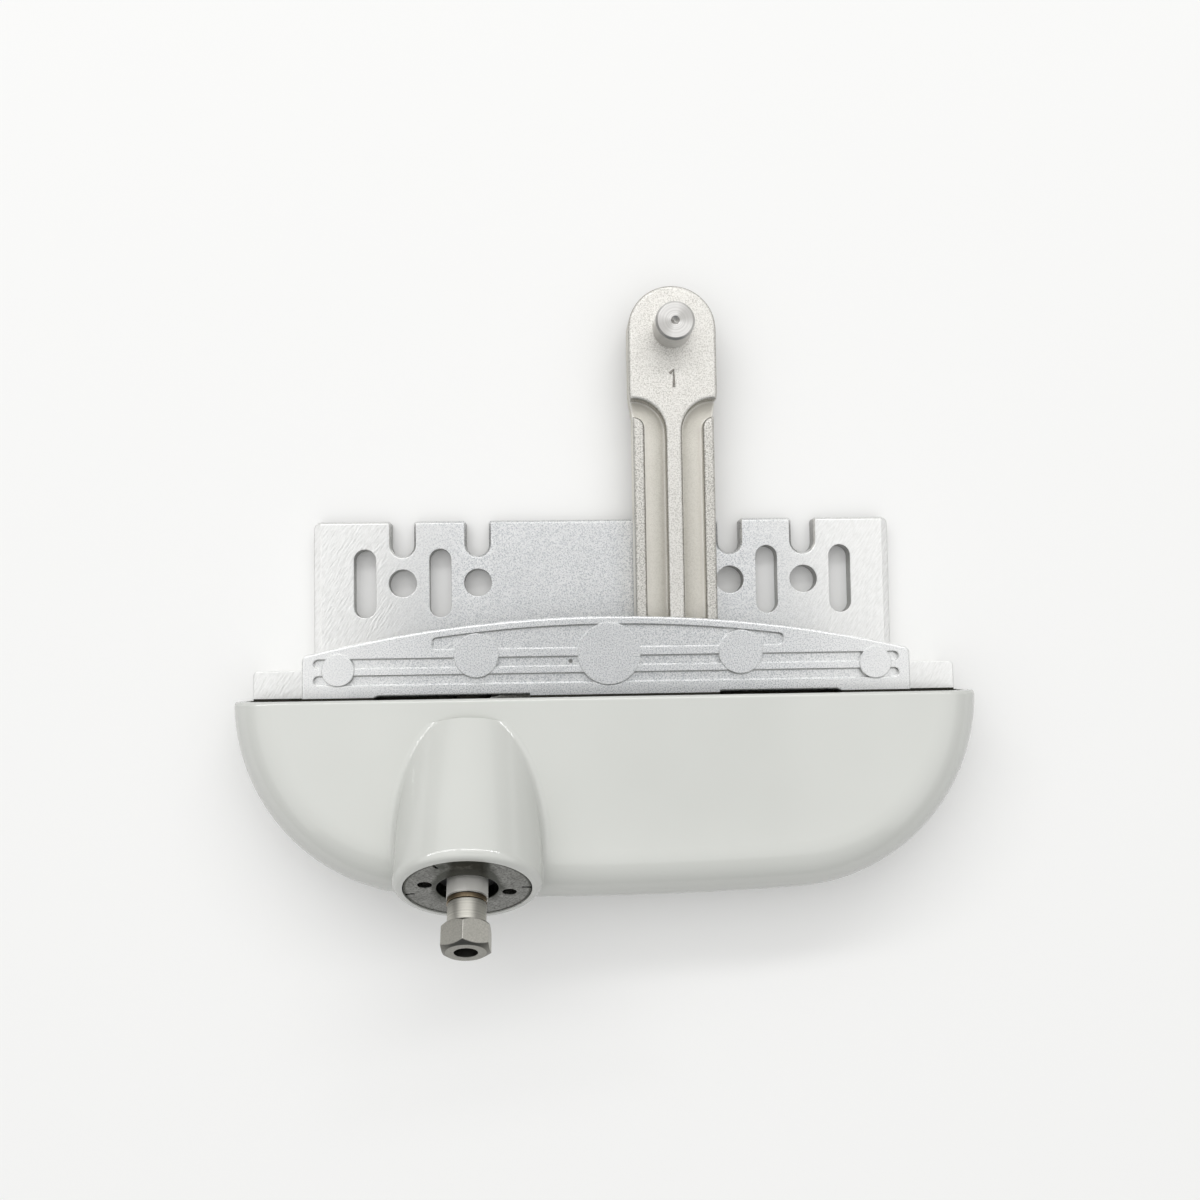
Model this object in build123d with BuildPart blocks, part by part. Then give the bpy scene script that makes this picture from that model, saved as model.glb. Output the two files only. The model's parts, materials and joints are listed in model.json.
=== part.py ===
"""Casement window operator: worm-driven swing arm in a flanged housing.

Millimetres. The origin is on the underside of the flange, in the middle of the line of screw holes.
+X runs along the sill, +Y points outdoors along the open arm, +Z is up.
"""
import os
from math import atan2, cos, degrees, pi, radians, sin, sqrt, tan
from build123d import *

# Flange with its screw holes, slots and open notches
flange_width = 132.4
flange_thickness = 4.0
flange_reach = 14.2
flange_corner_radius = 1.7
flange_edge_chamfer = 0.5
end_slope_width = 1.6
end_slope_depth = 0.6
hole_diameter = 6.35
hole_spread_inner = 58.0
hole_pitch = 17.1
slot_width = 5.0
slot_length = 15.7
notch_width = 5.2
notch_depth = 8.0
notch_mouth_radius = 0.7

# Bridge over the arm, with a lip that shows outside the cover
lip_overhang = 0.3
lip_thickness = 4.8
lip_apex_y = -8.6
lip_arc_radius = 285.0
lip_inner_y = -25.5
lip_corner_radius = 1.6
lip_edge_radius = 0.5
core_depth = 1.1
core_rib = 1.7
core_end_inset = 2.5
groove_upper_y = -18.25
groove_lower_y = -21.85
groove_width = 2.1
lens_floor_y = -15.4
lens_half_length = 38.5
lens_corner_share = 0.4
pad_proud = 0.3
pad_centre_radius = 6.8
pad_middle_x = 28.9
pad_middle_y = -16.8
pad_middle_radius = 4.8
pad_end_inset = 7.8
pad_end_y = -19.6
pad_end_radius = 3.5
tongue_left = 7.8
tongue_right = 33.7
tongue_tail = 10.5
lip_foot_length = 15.2
lip_foot_depth = 3.5

# End tabs and the pillars under the bridge
tab_width = 156.0
tab_reach = 6.4
tab_height = 12.0
tab_length = 16.0
tab_root_depth = 3.2
tab_edge_radius = 1.0
pillar_length = 13.5
pillar_setback = 1.2

# Cover
cover_rim_y = -26.0
cover_length = 162.8
cover_depth = 43.6
cover_front_radius = 785.0
cover_height = 25.0
cover_wall = 2.5
cover_edge_radius = 11.0
cover_gap = 0.4
rim_edge_radius = 0.8

# Spindle axis, its pod on the cover and the tube inside it
spindle_x = -30.5
spindle_elevation = 34.0
pod_setback = 5.0
pod_rise = 6.9
pod_radius = 15.4
pod_taper = 0.8
pod_rim_gap = 3.85
pod_fillet = 2.0
pod_edge_radius = 1.6
tube_radius = 12.4
tube_length = 20.8
tube_gap = 0.2
web_thickness = 12.0
web_front = 1.0

# Retainer in the mouth of the pod
retainer_radius = 13.05
retainer_thickness = 3.0
retainer_recess = 0.2
retainer_skirt_radius = 9.9
retainer_skirt_length = 5.8
retainer_mouth_radius = 6.4
retainer_mouth_depth = 4.6
spanner_hole_diameter = 3.0
spanner_hole_depth = 1.6
spanner_hole_offset = 8.8
spanner_hole_turn = -14.0
tick_length = 2.0
tick_width = 0.6
tick_depth = 0.5
tick_angles = (0.0, 119.0, 190.0)
seal_thickness = 2.0

# Spindle
hex_across_flats = 9.525
hex_length = 5.4
hex_turn = 4.0
hex_neck_chamfer = 0.7
hex_end_chamfer = 0.8
hex_end_diameter = 8.4
neck_diameter = 7.94
neck_length = 4.6
ring_groove_diameter = 7.2
ring_groove_width = 1.2
collar_diameter = 8.5
collar_length = 2.4
end_hole_diameter = 4.9
end_hole_depth = 5.0
journal_diameter = 9.0
thrust_collar_diameter = 13.0
thrust_collar_length = 2.0
end_journal_diameter = 4.4
end_journal_length = 4.8
bushing_outer_diameter = 16.0
end_bushing_outer_diameter = 5.8
end_bearing_wall = 1.25
end_bearing_floor = 2.0
snap_ring_diameter = 8.3
snap_ring_thickness = 0.9
snap_ring_gap = 2.4

# Worm and the toothed sector of the arm
worm_pitch_radius = 4.6
gear_teeth = 32
centre_distance = 21.0
tooth_addendum = 0.8
tooth_root_gap = 0.25
tooth_share = 0.40
pressure_angle = 20.0
thread_turns_below = 1
thread_turns_above = 3
sector_margin = 13.0

# Arm
arm_thickness = 7.0
arm_swing = 86.0
arm_x = 15.8
arm_head_radius = 10.0
arm_stem_width = 18.4
arm_shoulder_y = 42.0
arm_neck_y = 36.7
arm_elbow_rise = 8.0
arm_hub_radius = 11.0
arm_edge_radius = 0.75
flute_depth = 3.0
flute_start_y = 33.2
flute_end_gap = 8.0
flute_arc_radius = 7.3
flute_rib_top = 0.3
centre_rib_width = 3.7
outer_rib_width = 2.6
outer_rib_start_y = 36.5
outer_rib_round = 2.4
stud_y = 56.5
stud_diameter = 8.8
stud_height = 7.2
stud_shank_diameter = 6.4
stud_chamfer = 0.5
stud_dimple_diameter = 2.0

# Pivot
pivot_pin_diameter = 8.0
pivot_pin_chamfer = 0.4
pivot_bushing_wall = 1.5
pivot_washer_thickness = 1.0
pivot_washer_diameter = 17.0

# Screws from below
screw_diameter = 4.0
screw_head_diameter = 7.0
screw_head_height = 2.2
screw_head_recess = 0.3
screw_drive_width = 2.5
screw_drive_depth = 1.2
screw_bite = 3.4
cover_screw_inset = 13.2
cover_screw_setback = 12.0
cover_screw_bite = 9.0
cover_boss_radius = 4.5

# Clearances
running_fit = 0.05
seat_fit = 0.02
side_gap = 0.1
swing_gap = 0.5
screw_fit = 0.1
overshoot = 2.0

# Heights
arm_bottom = flange_thickness + pivot_washer_thickness + side_gap
arm_top = arm_bottom + arm_thickness
gear_middle = arm_bottom + arm_thickness / 2
bridge_bottom = arm_top + side_gap + pivot_washer_thickness
lip_top = bridge_bottom + lip_thickness

# Outline of the bridge, which follows the width of the flange
lip_width = flange_width + 2 * lip_overhang
core_end = lip_width / 2 - core_end_inset
pad_end_x = lip_width / 2 - pad_end_inset
lip_foot_start = lip_width / 2 - lip_foot_length
lip_end_y = lip_apex_y - lip_arc_radius + sqrt(lip_arc_radius**2 - (lip_width / 2) ** 2)
lip_foot_y = lip_inner_y - lip_foot_depth

# Spindle axis: w points out of the pod, u points up and back across it
elevation = radians(spindle_elevation)
w = Vector(0, -cos(elevation), sin(elevation))
u = Vector(0, sin(elevation), cos(elevation))
pod_end_y = cover_rim_y - cover_depth + pod_setback
pod_end_z = cover_height + pod_rise
pod_end = Vector(spindle_x, pod_end_y, pod_end_z)
spindle_axis = Axis(pod_end, w)
spindle_face = Plane(origin=pod_end, x_dir=(1, 0, 0), z_dir=w)
spindle_side = Plane(origin=pod_end, x_dir=w, z_dir=w.cross(u))
mesh_depth = (pod_end_z - gear_middle) / sin(elevation)
mesh_centre = pod_end - w * mesh_depth
pivot_x = spindle_x + centre_distance
pivot_y = mesh_centre.Y
arm_elbow_y = pivot_y + arm_elbow_rise
flute_end_y = arm_elbow_y + flute_end_gap

# Length of the pod, so that its crest ends short of the cover's rim
pod_slope = tan(radians(pod_taper))
pod_run = cover_depth - pod_setback - pod_rim_gap - pod_radius * sin(elevation)
pod_length = pod_run / (cos(elevation) - pod_slope * sin(elevation))

# Worm and tooth sizes. The lead angle follows from one shared normal pitch.
gear_pitch_radius = centre_distance - worm_pitch_radius
transverse_pitch = 2 * pi * gear_pitch_radius / gear_teeth
pitch_ratio = transverse_pitch / (2 * pi * worm_pitch_radius)
lead_angle = atan2(pitch_ratio * cos(elevation), 1 - pitch_ratio * sin(elevation))
normal_pitch = transverse_pitch * cos(elevation - lead_angle)
helix_angle = elevation - lead_angle
axial_pitch = normal_pitch / cos(lead_angle)
worm_tip_radius = worm_pitch_radius + tooth_addendum
worm_root_radius = worm_pitch_radius - tooth_addendum - tooth_root_gap
gear_tip_radius = gear_pitch_radius + tooth_addendum
gear_root_radius = gear_pitch_radius - tooth_addendum - tooth_root_gap
flank = tan(radians(pressure_angle))
transverse_flank = flank / cos(helix_angle)
tooth_angle = 360 / gear_teeth

# Places along the spindle axis, counted down from the end of the pod
retainer_top = retainer_recess
retainer_seat = retainer_top + retainer_thickness
bushing_top = retainer_seat + retainer_skirt_length
tube_end = retainer_seat + tube_length
thread_bottom = mesh_depth + (thread_turns_below + 0.5) * axial_pitch
thread_top = mesh_depth - (thread_turns_above + 0.5) * axial_pitch
end_journal_top = thread_bottom + side_gap
end_journal_bottom = end_journal_top + end_journal_length
pod_bore_radius = tube_radius + tube_gap
retainer_pocket_radius = retainer_radius + tube_gap
thrust_washer_top = tube_end + side_gap
thrust_collar_top = thrust_washer_top + pivot_washer_thickness + side_gap
thrust_collar_bottom = thrust_collar_top + thrust_collar_length
journal_radius = journal_diameter / 2
collar_radius = collar_diameter / 2
bushing_radius = bushing_outer_diameter / 2
end_journal_radius = end_journal_diameter / 2
end_bushing_radius = end_bushing_outer_diameter / 2
screw_radius = screw_diameter / 2
screw_hole_radius = screw_radius + screw_fit
screw_head_radius = screw_head_diameter / 2
screw_seat = screw_head_recess + screw_head_height

first_hole = hole_spread_inner / 2
screw_hole_xs = [side * (first_hole + step * hole_pitch) for side in (-1, 1) for step in (0, 1)]
slot_xs = [side * (first_hole + (step + 0.5) * hole_pitch) for side in (-1, 1) for step in (0, 1)]
pad_spots = [
    (0, pad_middle_y, pad_centre_radius),
    (-pad_middle_x, pad_middle_y, pad_middle_radius),
    (pad_middle_x, pad_middle_y, pad_middle_radius),
    (-pad_end_x, pad_end_y, pad_end_radius),
    (pad_end_x, pad_end_y, pad_end_radius),
]
bridge_screw_spots = [(-pad_end_x, pad_end_y), (pad_end_x, pad_end_y)]
cover_screw_x = cover_length / 2 - cover_screw_inset
cover_screw_y = cover_rim_y - cover_screw_setback
cover_screw_spots = [(-cover_screw_x, cover_screw_y), (cover_screw_x, cover_screw_y)]

os.makedirs("parts", exist_ok=True)


def cover_plan(inset, height, back=0.0):
    """D-shaped plan of the cover, moved in by inset on its curved side and drawn out past the rim by back."""
    half = cover_length / 2 - inset
    depth = cover_depth - inset
    front = cover_front_radius - inset
    corner = (front**2 - half**2 - (front - depth) ** 2) / (2 * (front - half))
    corner_x = half - corner
    front_y = cover_rim_y - depth + front
    turn = degrees(atan2(cover_rim_y - front_y, corner_x))
    back_y = cover_rim_y + back
    with BuildSketch(Plane.XY.offset(height)) as plan:
        with BuildLine():
            CenterArc((corner_x, cover_rim_y), corner, 0, turn)
            CenterArc((0, front_y), front, turn, -180 - 2 * turn)
            CenterArc((-corner_x, cover_rim_y), corner, -180 - turn, turn)
            if back > 0:
                Line((-half, cover_rim_y), (-half, back_y))
                Line((half, back_y), (half, cover_rim_y))
            Line((-half, back_y), (half, back_y))
        make_face()
    return plan.sketch


def turned(profile, mode=Mode.ADD):
    """Revolve a closed outline of (depth below the pod's end, radius) points about the spindle axis."""
    with BuildSketch(spindle_side) as section:
        with BuildLine():
            Polyline(*[(-depth, radius) for depth, radius in profile], close=True)
        make_face()
    revolve(section.sketch, axis=spindle_axis, mode=mode)


def ring(start, end, inner, outer):
    """Plain ring on the spindle axis between two depths."""
    turned([(start, inner), (start, outer), (end, outer), (end, inner)])


def bored(start, end, radius):
    """Round bore on the spindle axis between two depths."""
    with BuildSketch(spindle_face.offset(-start)) as disc:
        Circle(radius)
    extrude(disc.sketch, amount=start - end, mode=Mode.SUBTRACT)


def save(piece, name):
    """Label a finished piece and write it."""
    piece.part.label = name
    export_step(piece.part, f"parts/{name}.step")


# Base casting: flange, sole under the cover, end tabs, pillars, worm tube and end bearing
with BuildPart() as base_casting:
    with BuildSketch() as flange_plan:
        flange_depth = flange_reach - cover_rim_y + overshoot
        with Locations((0, flange_reach - flange_depth / 2)):
            Rectangle(flange_width, flange_depth)
        fillet(flange_plan.vertices().group_by(Axis.Y)[-1], flange_corner_radius)
        with Locations(*[(x, flange_reach - notch_depth + notch_width / 2) for x in screw_hole_xs]):
            Circle(notch_width / 2, mode=Mode.SUBTRACT)
        with Locations(*[(x, flange_reach - notch_depth + notch_width / 2) for x in screw_hole_xs]):
            Rectangle(notch_width, notch_depth, align=(Align.CENTER, Align.MIN), mode=Mode.SUBTRACT)
        mouths = flange_plan.vertices().group_by(Axis.Y)[-1]
        mouth_reach = flange_width / 2 - 2 * flange_corner_radius
        fillet([v for v in mouths if abs(v.X) < mouth_reach], notch_mouth_radius)
        with Locations(*[(x, 0) for x in screw_hole_xs]):
            Circle(hole_diameter / 2, mode=Mode.SUBTRACT)
        with Locations(*[(x, 0) for x in slot_xs]):
            SlotOverall(slot_length, slot_width, rotation=90, mode=Mode.SUBTRACT)
    extrude(amount=flange_thickness)
    flange_top = base_casting.faces().sort_by(Axis.Z)[-1]
    flange_edges = flange_top.outer_wire().edges().filter_by_position(Axis.Y, cover_rim_y, flange_reach)
    chamfer(flange_edges, flange_edge_chamfer)
    # Sloped strip along each end of the flange
    flange_end = flange_width / 2
    for side in (-1, 1):
        with BuildSketch(Plane.XZ.offset(-flange_reach)):
            with BuildLine():
                Polyline(
                    (side * (flange_end - end_slope_width), flange_thickness),
                    (side * flange_end, flange_thickness),
                    (side * flange_end, flange_thickness - end_slope_depth),
                    close=True,
                )
            make_face()
        extrude(amount=flange_depth, mode=Mode.SUBTRACT)
    # Sole that closes the cover from below
    add(cover_plan(cover_wall + cover_gap, 0))
    extrude(amount=flange_thickness)
    # End tabs beside the rim, with roots inside the cover
    tab_root_width = cover_length - 2 * (cover_wall + cover_gap)
    for side in (-1, 1):
        with BuildSketch() as tab_plan:
            with Locations((side * (tab_width - tab_length) / 2, cover_rim_y)):
                Rectangle(tab_length, tab_reach, align=(Align.CENTER, Align.MIN))
            fillet(tab_plan.vertices().sort_by(Axis.Y)[-2:], tab_edge_radius)
        extrude(amount=tab_height)
        with BuildSketch():
            with Locations((side * (tab_root_width - tab_length) / 2, cover_rim_y)):
                Rectangle(tab_length, tab_root_depth, align=(Align.CENTER, Align.MAX))
        extrude(amount=tab_height)
    # Pillars that carry the bridge
    for side in (-1, 1):
        with BuildSketch():
            with Locations((side * (flange_width - pillar_length) / 2, lip_inner_y)):
                pillar_depth = lip_end_y - lip_inner_y - pillar_setback
                Rectangle(pillar_length, pillar_depth, align=(Align.CENTER, Align.MIN))
        extrude(amount=bridge_bottom)
    # Web and tube round the spindle
    web_foot = flange_thickness / 2
    web_back = pod_end - w * tube_end
    web_head = pod_end - w * bushing_top
    with BuildSketch(Plane.YZ.offset(spindle_x - web_thickness / 2)):
        with BuildLine():
            Polyline(
                (web_back.Y, web_foot),
                (web_back.Y, web_back.Z),
                (web_head.Y, web_head.Z),
                (pod_end_y + web_front, web_foot),
                close=True,
            )
        make_face()
    extrude(amount=web_thickness)
    with BuildSketch(spindle_face.offset(-retainer_seat)):
        Circle(tube_radius)
    extrude(amount=-tube_length)
    # End bearing of the worm, with room for the sector to pass
    with BuildSketch(spindle_face.offset(-end_journal_top - side_gap)):
        Circle(end_bushing_radius + end_bearing_wall)
    extrude(amount=-end_journal_length - end_bearing_floor)
    with BuildSketch(Plane.XY.offset(arm_bottom - swing_gap)):
        with Locations((pivot_x, pivot_y)):
            Circle(gear_tip_radius + swing_gap)
    extrude(amount=arm_thickness + 2 * swing_gap, mode=Mode.SUBTRACT)
    bored(thread_top - axial_pitch, end_journal_top + side_gap, worm_tip_radius + swing_gap)
    bored(end_journal_top, end_journal_bottom + side_gap, end_bushing_radius + seat_fit)
    bored(retainer_seat, bushing_top, retainer_skirt_radius + seat_fit)
    bored(retainer_seat, tube_end, bushing_radius + seat_fit)
    bored(tube_end, thrust_collar_bottom + swing_gap, bushing_radius + swing_gap)
    split(bisect_by=Plane.XY, keep=Keep.TOP)
    # Holes for the pivot pin and the screws from below
    with BuildSketch():
        with Locations((pivot_x, pivot_y)):
            Circle(pivot_pin_diameter / 2 + seat_fit)
        with Locations(*bridge_screw_spots, *cover_screw_spots):
            Circle(screw_hole_radius)
    extrude(amount=bridge_bottom, mode=Mode.SUBTRACT)
    with BuildSketch():
        with Locations(*bridge_screw_spots, *cover_screw_spots):
            Circle(screw_head_radius + screw_fit)
    extrude(amount=screw_seat, mode=Mode.SUBTRACT)
save(base_casting, "base_casting")

# Bridge: cored lip outside the cover, end feet under the rim and a tongue that holds the pivot pin
with BuildPart() as upper_bridge:
    with BuildSketch(Plane.XY.offset(bridge_bottom)) as lip_plan:
        with BuildLine():
            ThreePointArc((-lip_width / 2, lip_end_y), (0, lip_apex_y), (lip_width / 2, lip_end_y))
            Polyline(
                (lip_width / 2, lip_end_y),
                (lip_width / 2, lip_foot_y),
                (lip_foot_start, lip_foot_y),
                (lip_foot_start, lip_inner_y),
                (-lip_foot_start, lip_inner_y),
                (-lip_foot_start, lip_foot_y),
                (-lip_width / 2, lip_foot_y),
                (-lip_width / 2, lip_end_y),
            )
        make_face()
        fillet(lip_plan.vertices(), lip_corner_radius)
    extrude(amount=lip_thickness)
    fillet(upper_bridge.faces().sort_by(Axis.Z)[-1].edges(), lip_edge_radius)
    with BuildSketch(Plane.XY.offset(bridge_bottom)):
        tongue_y = pivot_y - tongue_tail
        with Locations((pivot_x + (tongue_right - tongue_left) / 2, tongue_y)):
            tongue_size = (tongue_left + tongue_right, lip_inner_y - tongue_y + 2 * lip_edge_radius)
            Rectangle(*tongue_size, align=(Align.CENTER, Align.MIN))
    extrude(amount=lip_thickness)
    # Cored lens and two long grooves, with round pads standing in them
    lens_radius = lip_arc_radius - core_rib
    lens_end_y = lip_apex_y - lip_arc_radius + sqrt(lens_radius**2 - lens_half_length**2)
    with BuildSketch(Plane.XY.offset(lip_top - core_depth)) as cores:
        with BuildLine():
            ThreePointArc(
                (-lens_half_length, lens_end_y), (0, lip_apex_y - core_rib), (lens_half_length, lens_end_y)
            )
            Polyline(
                (lens_half_length, lens_end_y),
                (lens_half_length, lens_floor_y),
                (-lens_half_length, lens_floor_y),
                (-lens_half_length, lens_end_y),
            )
        make_face()
        fillet(cores.vertices(), (lens_end_y - lens_floor_y) * lens_corner_share)
        with Locations((0, groove_upper_y), (0, groove_lower_y)):
            SlotOverall(core_end * 2, groove_width)
        for pad_x, pad_y, pad_radius in pad_spots:
            with Locations((pad_x, pad_y)):
                Circle(pad_radius, mode=Mode.SUBTRACT)
    extrude(amount=core_depth, mode=Mode.SUBTRACT)
    with BuildSketch(Plane.XY.offset(lip_top - core_depth)):
        for pad_x, pad_y, pad_radius in pad_spots:
            with Locations((pad_x, pad_y)):
                Circle(pad_radius)
    extrude(amount=core_depth + pad_proud)
    # Pin hole and blind screw holes
    with BuildSketch(Plane.XY.offset(bridge_bottom)):
        with Locations((pivot_x, pivot_y)):
            Circle(pivot_pin_diameter / 2 + seat_fit)
    extrude(amount=lip_thickness, mode=Mode.SUBTRACT)
    with BuildSketch(Plane.XY.offset(bridge_bottom)):
        with Locations(*bridge_screw_spots):
            Circle(screw_hole_radius)
    extrude(amount=screw_bite, mode=Mode.SUBTRACT)
save(upper_bridge, "upper_bridge")

# Hollow of the cover, open at the rim and below
with BuildPart() as cover_hollow:
    add(cover_plan(cover_wall, -overshoot, back=overshoot))
    extrude(amount=overshoot + cover_height - cover_wall)
    roof_edges = cover_hollow.faces().sort_by(Axis.Z)[-1].edges().sort_by(Axis.Y)[:-1]
    fillet(roof_edges, cover_edge_radius - cover_wall)

# Cover: D-shaped shell with a pod round the spindle and two screw bosses
with BuildPart() as front_cover:
    add(cover_plan(0, 0))
    extrude(amount=cover_height)
    crown = front_cover.faces().sort_by(Axis.Z)[-1].edges().filter_by(GeomType.CIRCLE)
    fillet(crown, cover_edge_radius)
    rim_top = front_cover.edges().group_by(Axis.Y)[-1].sort_by(Axis.Z)[-1:]
    fillet(rim_top, rim_edge_radius)
    with BuildSketch(spindle_face):
        Circle(pod_radius)
    extrude(amount=-pod_length, taper=pod_taper)
    seam_types = (GeomType.ELLIPSE, GeomType.BSPLINE)
    seam = [e for e in front_cover.edges(Select.LAST) if e.geom_type in seam_types]
    fillet(seam, pod_fillet)
    pod_rim = front_cover.edges().filter_by(GeomType.CIRCLE).sort_by(Axis(pod_end, w))[-1]
    fillet(pod_rim, pod_edge_radius)
    add(cover_hollow.part, mode=Mode.SUBTRACT)
    with BuildSketch(Plane.XY.offset(flange_thickness)):
        with Locations(*cover_screw_spots):
            Circle(cover_boss_radius)
    extrude(amount=cover_height - cover_wall / 2 - flange_thickness)
    with BuildSketch(Plane.XY.offset(flange_thickness)):
        with Locations(*cover_screw_spots):
            Circle(screw_hole_radius)
    extrude(amount=cover_screw_bite, mode=Mode.SUBTRACT)
    bored(0, tube_end + side_gap, pod_bore_radius)
    bored(tube_end, thrust_collar_bottom + swing_gap, bushing_radius + swing_gap)
    bored(0, retainer_seat, retainer_pocket_radius)
save(front_cover, "front_cover")

# Retainer: disc in the pod's mouth with a skirt into the tube
with BuildPart() as spindle_retainer:
    turned(
        [
            (retainer_top, retainer_mouth_radius),
            (retainer_top, retainer_radius),
            (retainer_seat, retainer_radius),
            (retainer_seat, retainer_skirt_radius),
            (bushing_top, retainer_skirt_radius),
            (bushing_top, collar_radius + swing_gap),
            (retainer_top + retainer_mouth_depth, collar_radius + swing_gap),
            (retainer_top + retainer_mouth_depth, retainer_mouth_radius),
        ]
    )
    with BuildSketch(spindle_face.offset(-retainer_top)):
        with PolarLocations(spanner_hole_offset, 2, start_angle=spanner_hole_turn):
            Circle(spanner_hole_diameter / 2)
    extrude(amount=-spanner_hole_depth, mode=Mode.SUBTRACT)
    with BuildSketch(spindle_face.offset(-retainer_top)):
        for tick_angle in tick_angles:
            with PolarLocations(retainer_radius, 1, start_angle=tick_angle):
                Rectangle(tick_length * 2, tick_width)
    extrude(amount=-tick_depth, mode=Mode.SUBTRACT)
save(spindle_retainer, "spindle_retainer")

# Seal at the bottom of the retainer's mouth
with BuildPart() as spindle_seal:
    seal_bottom = retainer_top + retainer_mouth_depth
    seal_top = seal_bottom - seal_thickness
    ring(seal_top, seal_bottom, collar_radius + running_fit, retainer_mouth_radius - seat_fit)
save(spindle_seal, "spindle_seal")

# Bushing in the tube
with BuildPart() as spindle_bushing:
    ring(bushing_top, tube_end, journal_radius + running_fit, bushing_radius)
save(spindle_bushing, "spindle_bushing")

# Thrust washer between the tube's end and the shaft's collar
with BuildPart() as thrust_washer:
    washer_bottom = thrust_washer_top + pivot_washer_thickness
    ring(thrust_washer_top, washer_bottom, journal_radius + running_fit, bushing_radius)
save(thrust_washer, "thrust_washer")

# Bushing for the worm's inner end
with BuildPart() as worm_end_bushing:
    bushing_start = end_journal_top + 2 * side_gap
    ring(bushing_start, end_journal_bottom, end_journal_radius + running_fit, end_bushing_radius)
save(worm_end_bushing, "worm_end_bushing")

# Places on the outer end of the spindle and the path of the worm's thread
neck_radius = neck_diameter / 2
groove_bottom_radius = ring_groove_diameter / 2
collar_out = retainer_top - collar_length
groove_out = collar_out - ring_groove_width
neck_out = groove_out - neck_length
hex_out = neck_out - hex_length
thread_plane = spindle_face.offset(-mesh_depth - thread_turns_below * axial_pitch)
thread_length = (thread_turns_below + thread_turns_above) * axial_pitch
thread_path = thread_plane * Helix(pitch=axial_pitch, height=thread_length, radius=worm_pitch_radius)

# Hexagon for the crank, one corner near the top, with both ends chamfered
hex_corner = hex_across_flats / sqrt(3)
with BuildPart() as crank_hex:
    with BuildSketch(spindle_face.offset(-neck_out)):
        RegularPolygon(hex_across_flats / 2, 6, major_radius=False, rotation=90 + hex_turn)
    extrude(amount=hex_length)
    turned(
        [
            (neck_out, 0),
            (neck_out, hex_corner - hex_neck_chamfer),
            (neck_out - hex_neck_chamfer, hex_corner),
            (hex_out + hex_end_chamfer, hex_corner),
            (hex_out, hex_end_diameter / 2),
            (hex_out, 0),
        ],
        mode=Mode.INTERSECT,
    )

# Spindle: hexagon, turned shaft and single-start worm in one piece
with BuildPart() as spindle_worm:
    turned(
        [
            (neck_out, 0),
            (neck_out, neck_radius),
            (groove_out, neck_radius),
            (groove_out, groove_bottom_radius),
            (collar_out, groove_bottom_radius),
            (collar_out, collar_radius),
            (bushing_top, collar_radius),
            (bushing_top, journal_radius),
            (thrust_collar_top, journal_radius),
            (thrust_collar_top, thrust_collar_diameter / 2),
            (thrust_collar_bottom, thrust_collar_diameter / 2),
            (thrust_collar_bottom, worm_root_radius),
            (end_journal_top, worm_root_radius),
            (end_journal_top, end_journal_radius),
            (end_journal_bottom, end_journal_radius),
            (end_journal_bottom, 0),
        ]
    )
    # Worm thread, with its crest facing the sector at the middle of the mesh
    crest_half = axial_pitch * tooth_share / 2 - tooth_addendum * flank
    root_half = crest_half + (2 * tooth_addendum + tooth_root_gap) * flank
    buried = tooth_root_gap
    thread_origin = thread_plane.origin + Vector(worm_pitch_radius, 0, 0)
    with BuildSketch(Plane(origin=thread_origin, x_dir=(1, 0, 0), z_dir=-u)):
        with BuildLine():
            Polyline(
                (-tooth_addendum - tooth_root_gap - buried, -root_half),
                (-tooth_addendum - tooth_root_gap, -root_half),
                (tooth_addendum, -crest_half),
                (tooth_addendum, crest_half),
                (-tooth_addendum - tooth_root_gap, root_half),
                (-tooth_addendum - tooth_root_gap - buried, root_half),
                close=True,
            )
        make_face()
    sweep(path=thread_path, is_frenet=True)
    # Hexagon with a blind hole in its end
    add(crank_hex.part)
    with BuildSketch(spindle_face.offset(-hex_out)):
        Circle(end_hole_diameter / 2)
    extrude(amount=-end_hole_depth, mode=Mode.SUBTRACT)
save(spindle_worm, "spindle_worm")

# Snap ring in the groove behind the neck
with BuildPart() as snap_ring:
    ring_top = groove_out + (ring_groove_width - snap_ring_thickness) / 2
    ring(ring_top, ring_top + snap_ring_thickness, groove_bottom_radius + seat_fit, snap_ring_diameter / 2)
    with BuildSketch(spindle_face.offset(-ring_top)):
        Rectangle(snap_ring_diameter, snap_ring_gap, align=(Align.MIN, Align.CENTER))
    extrude(amount=-snap_ring_thickness, mode=Mode.SUBTRACT)
save(snap_ring, "snap_ring")

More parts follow.
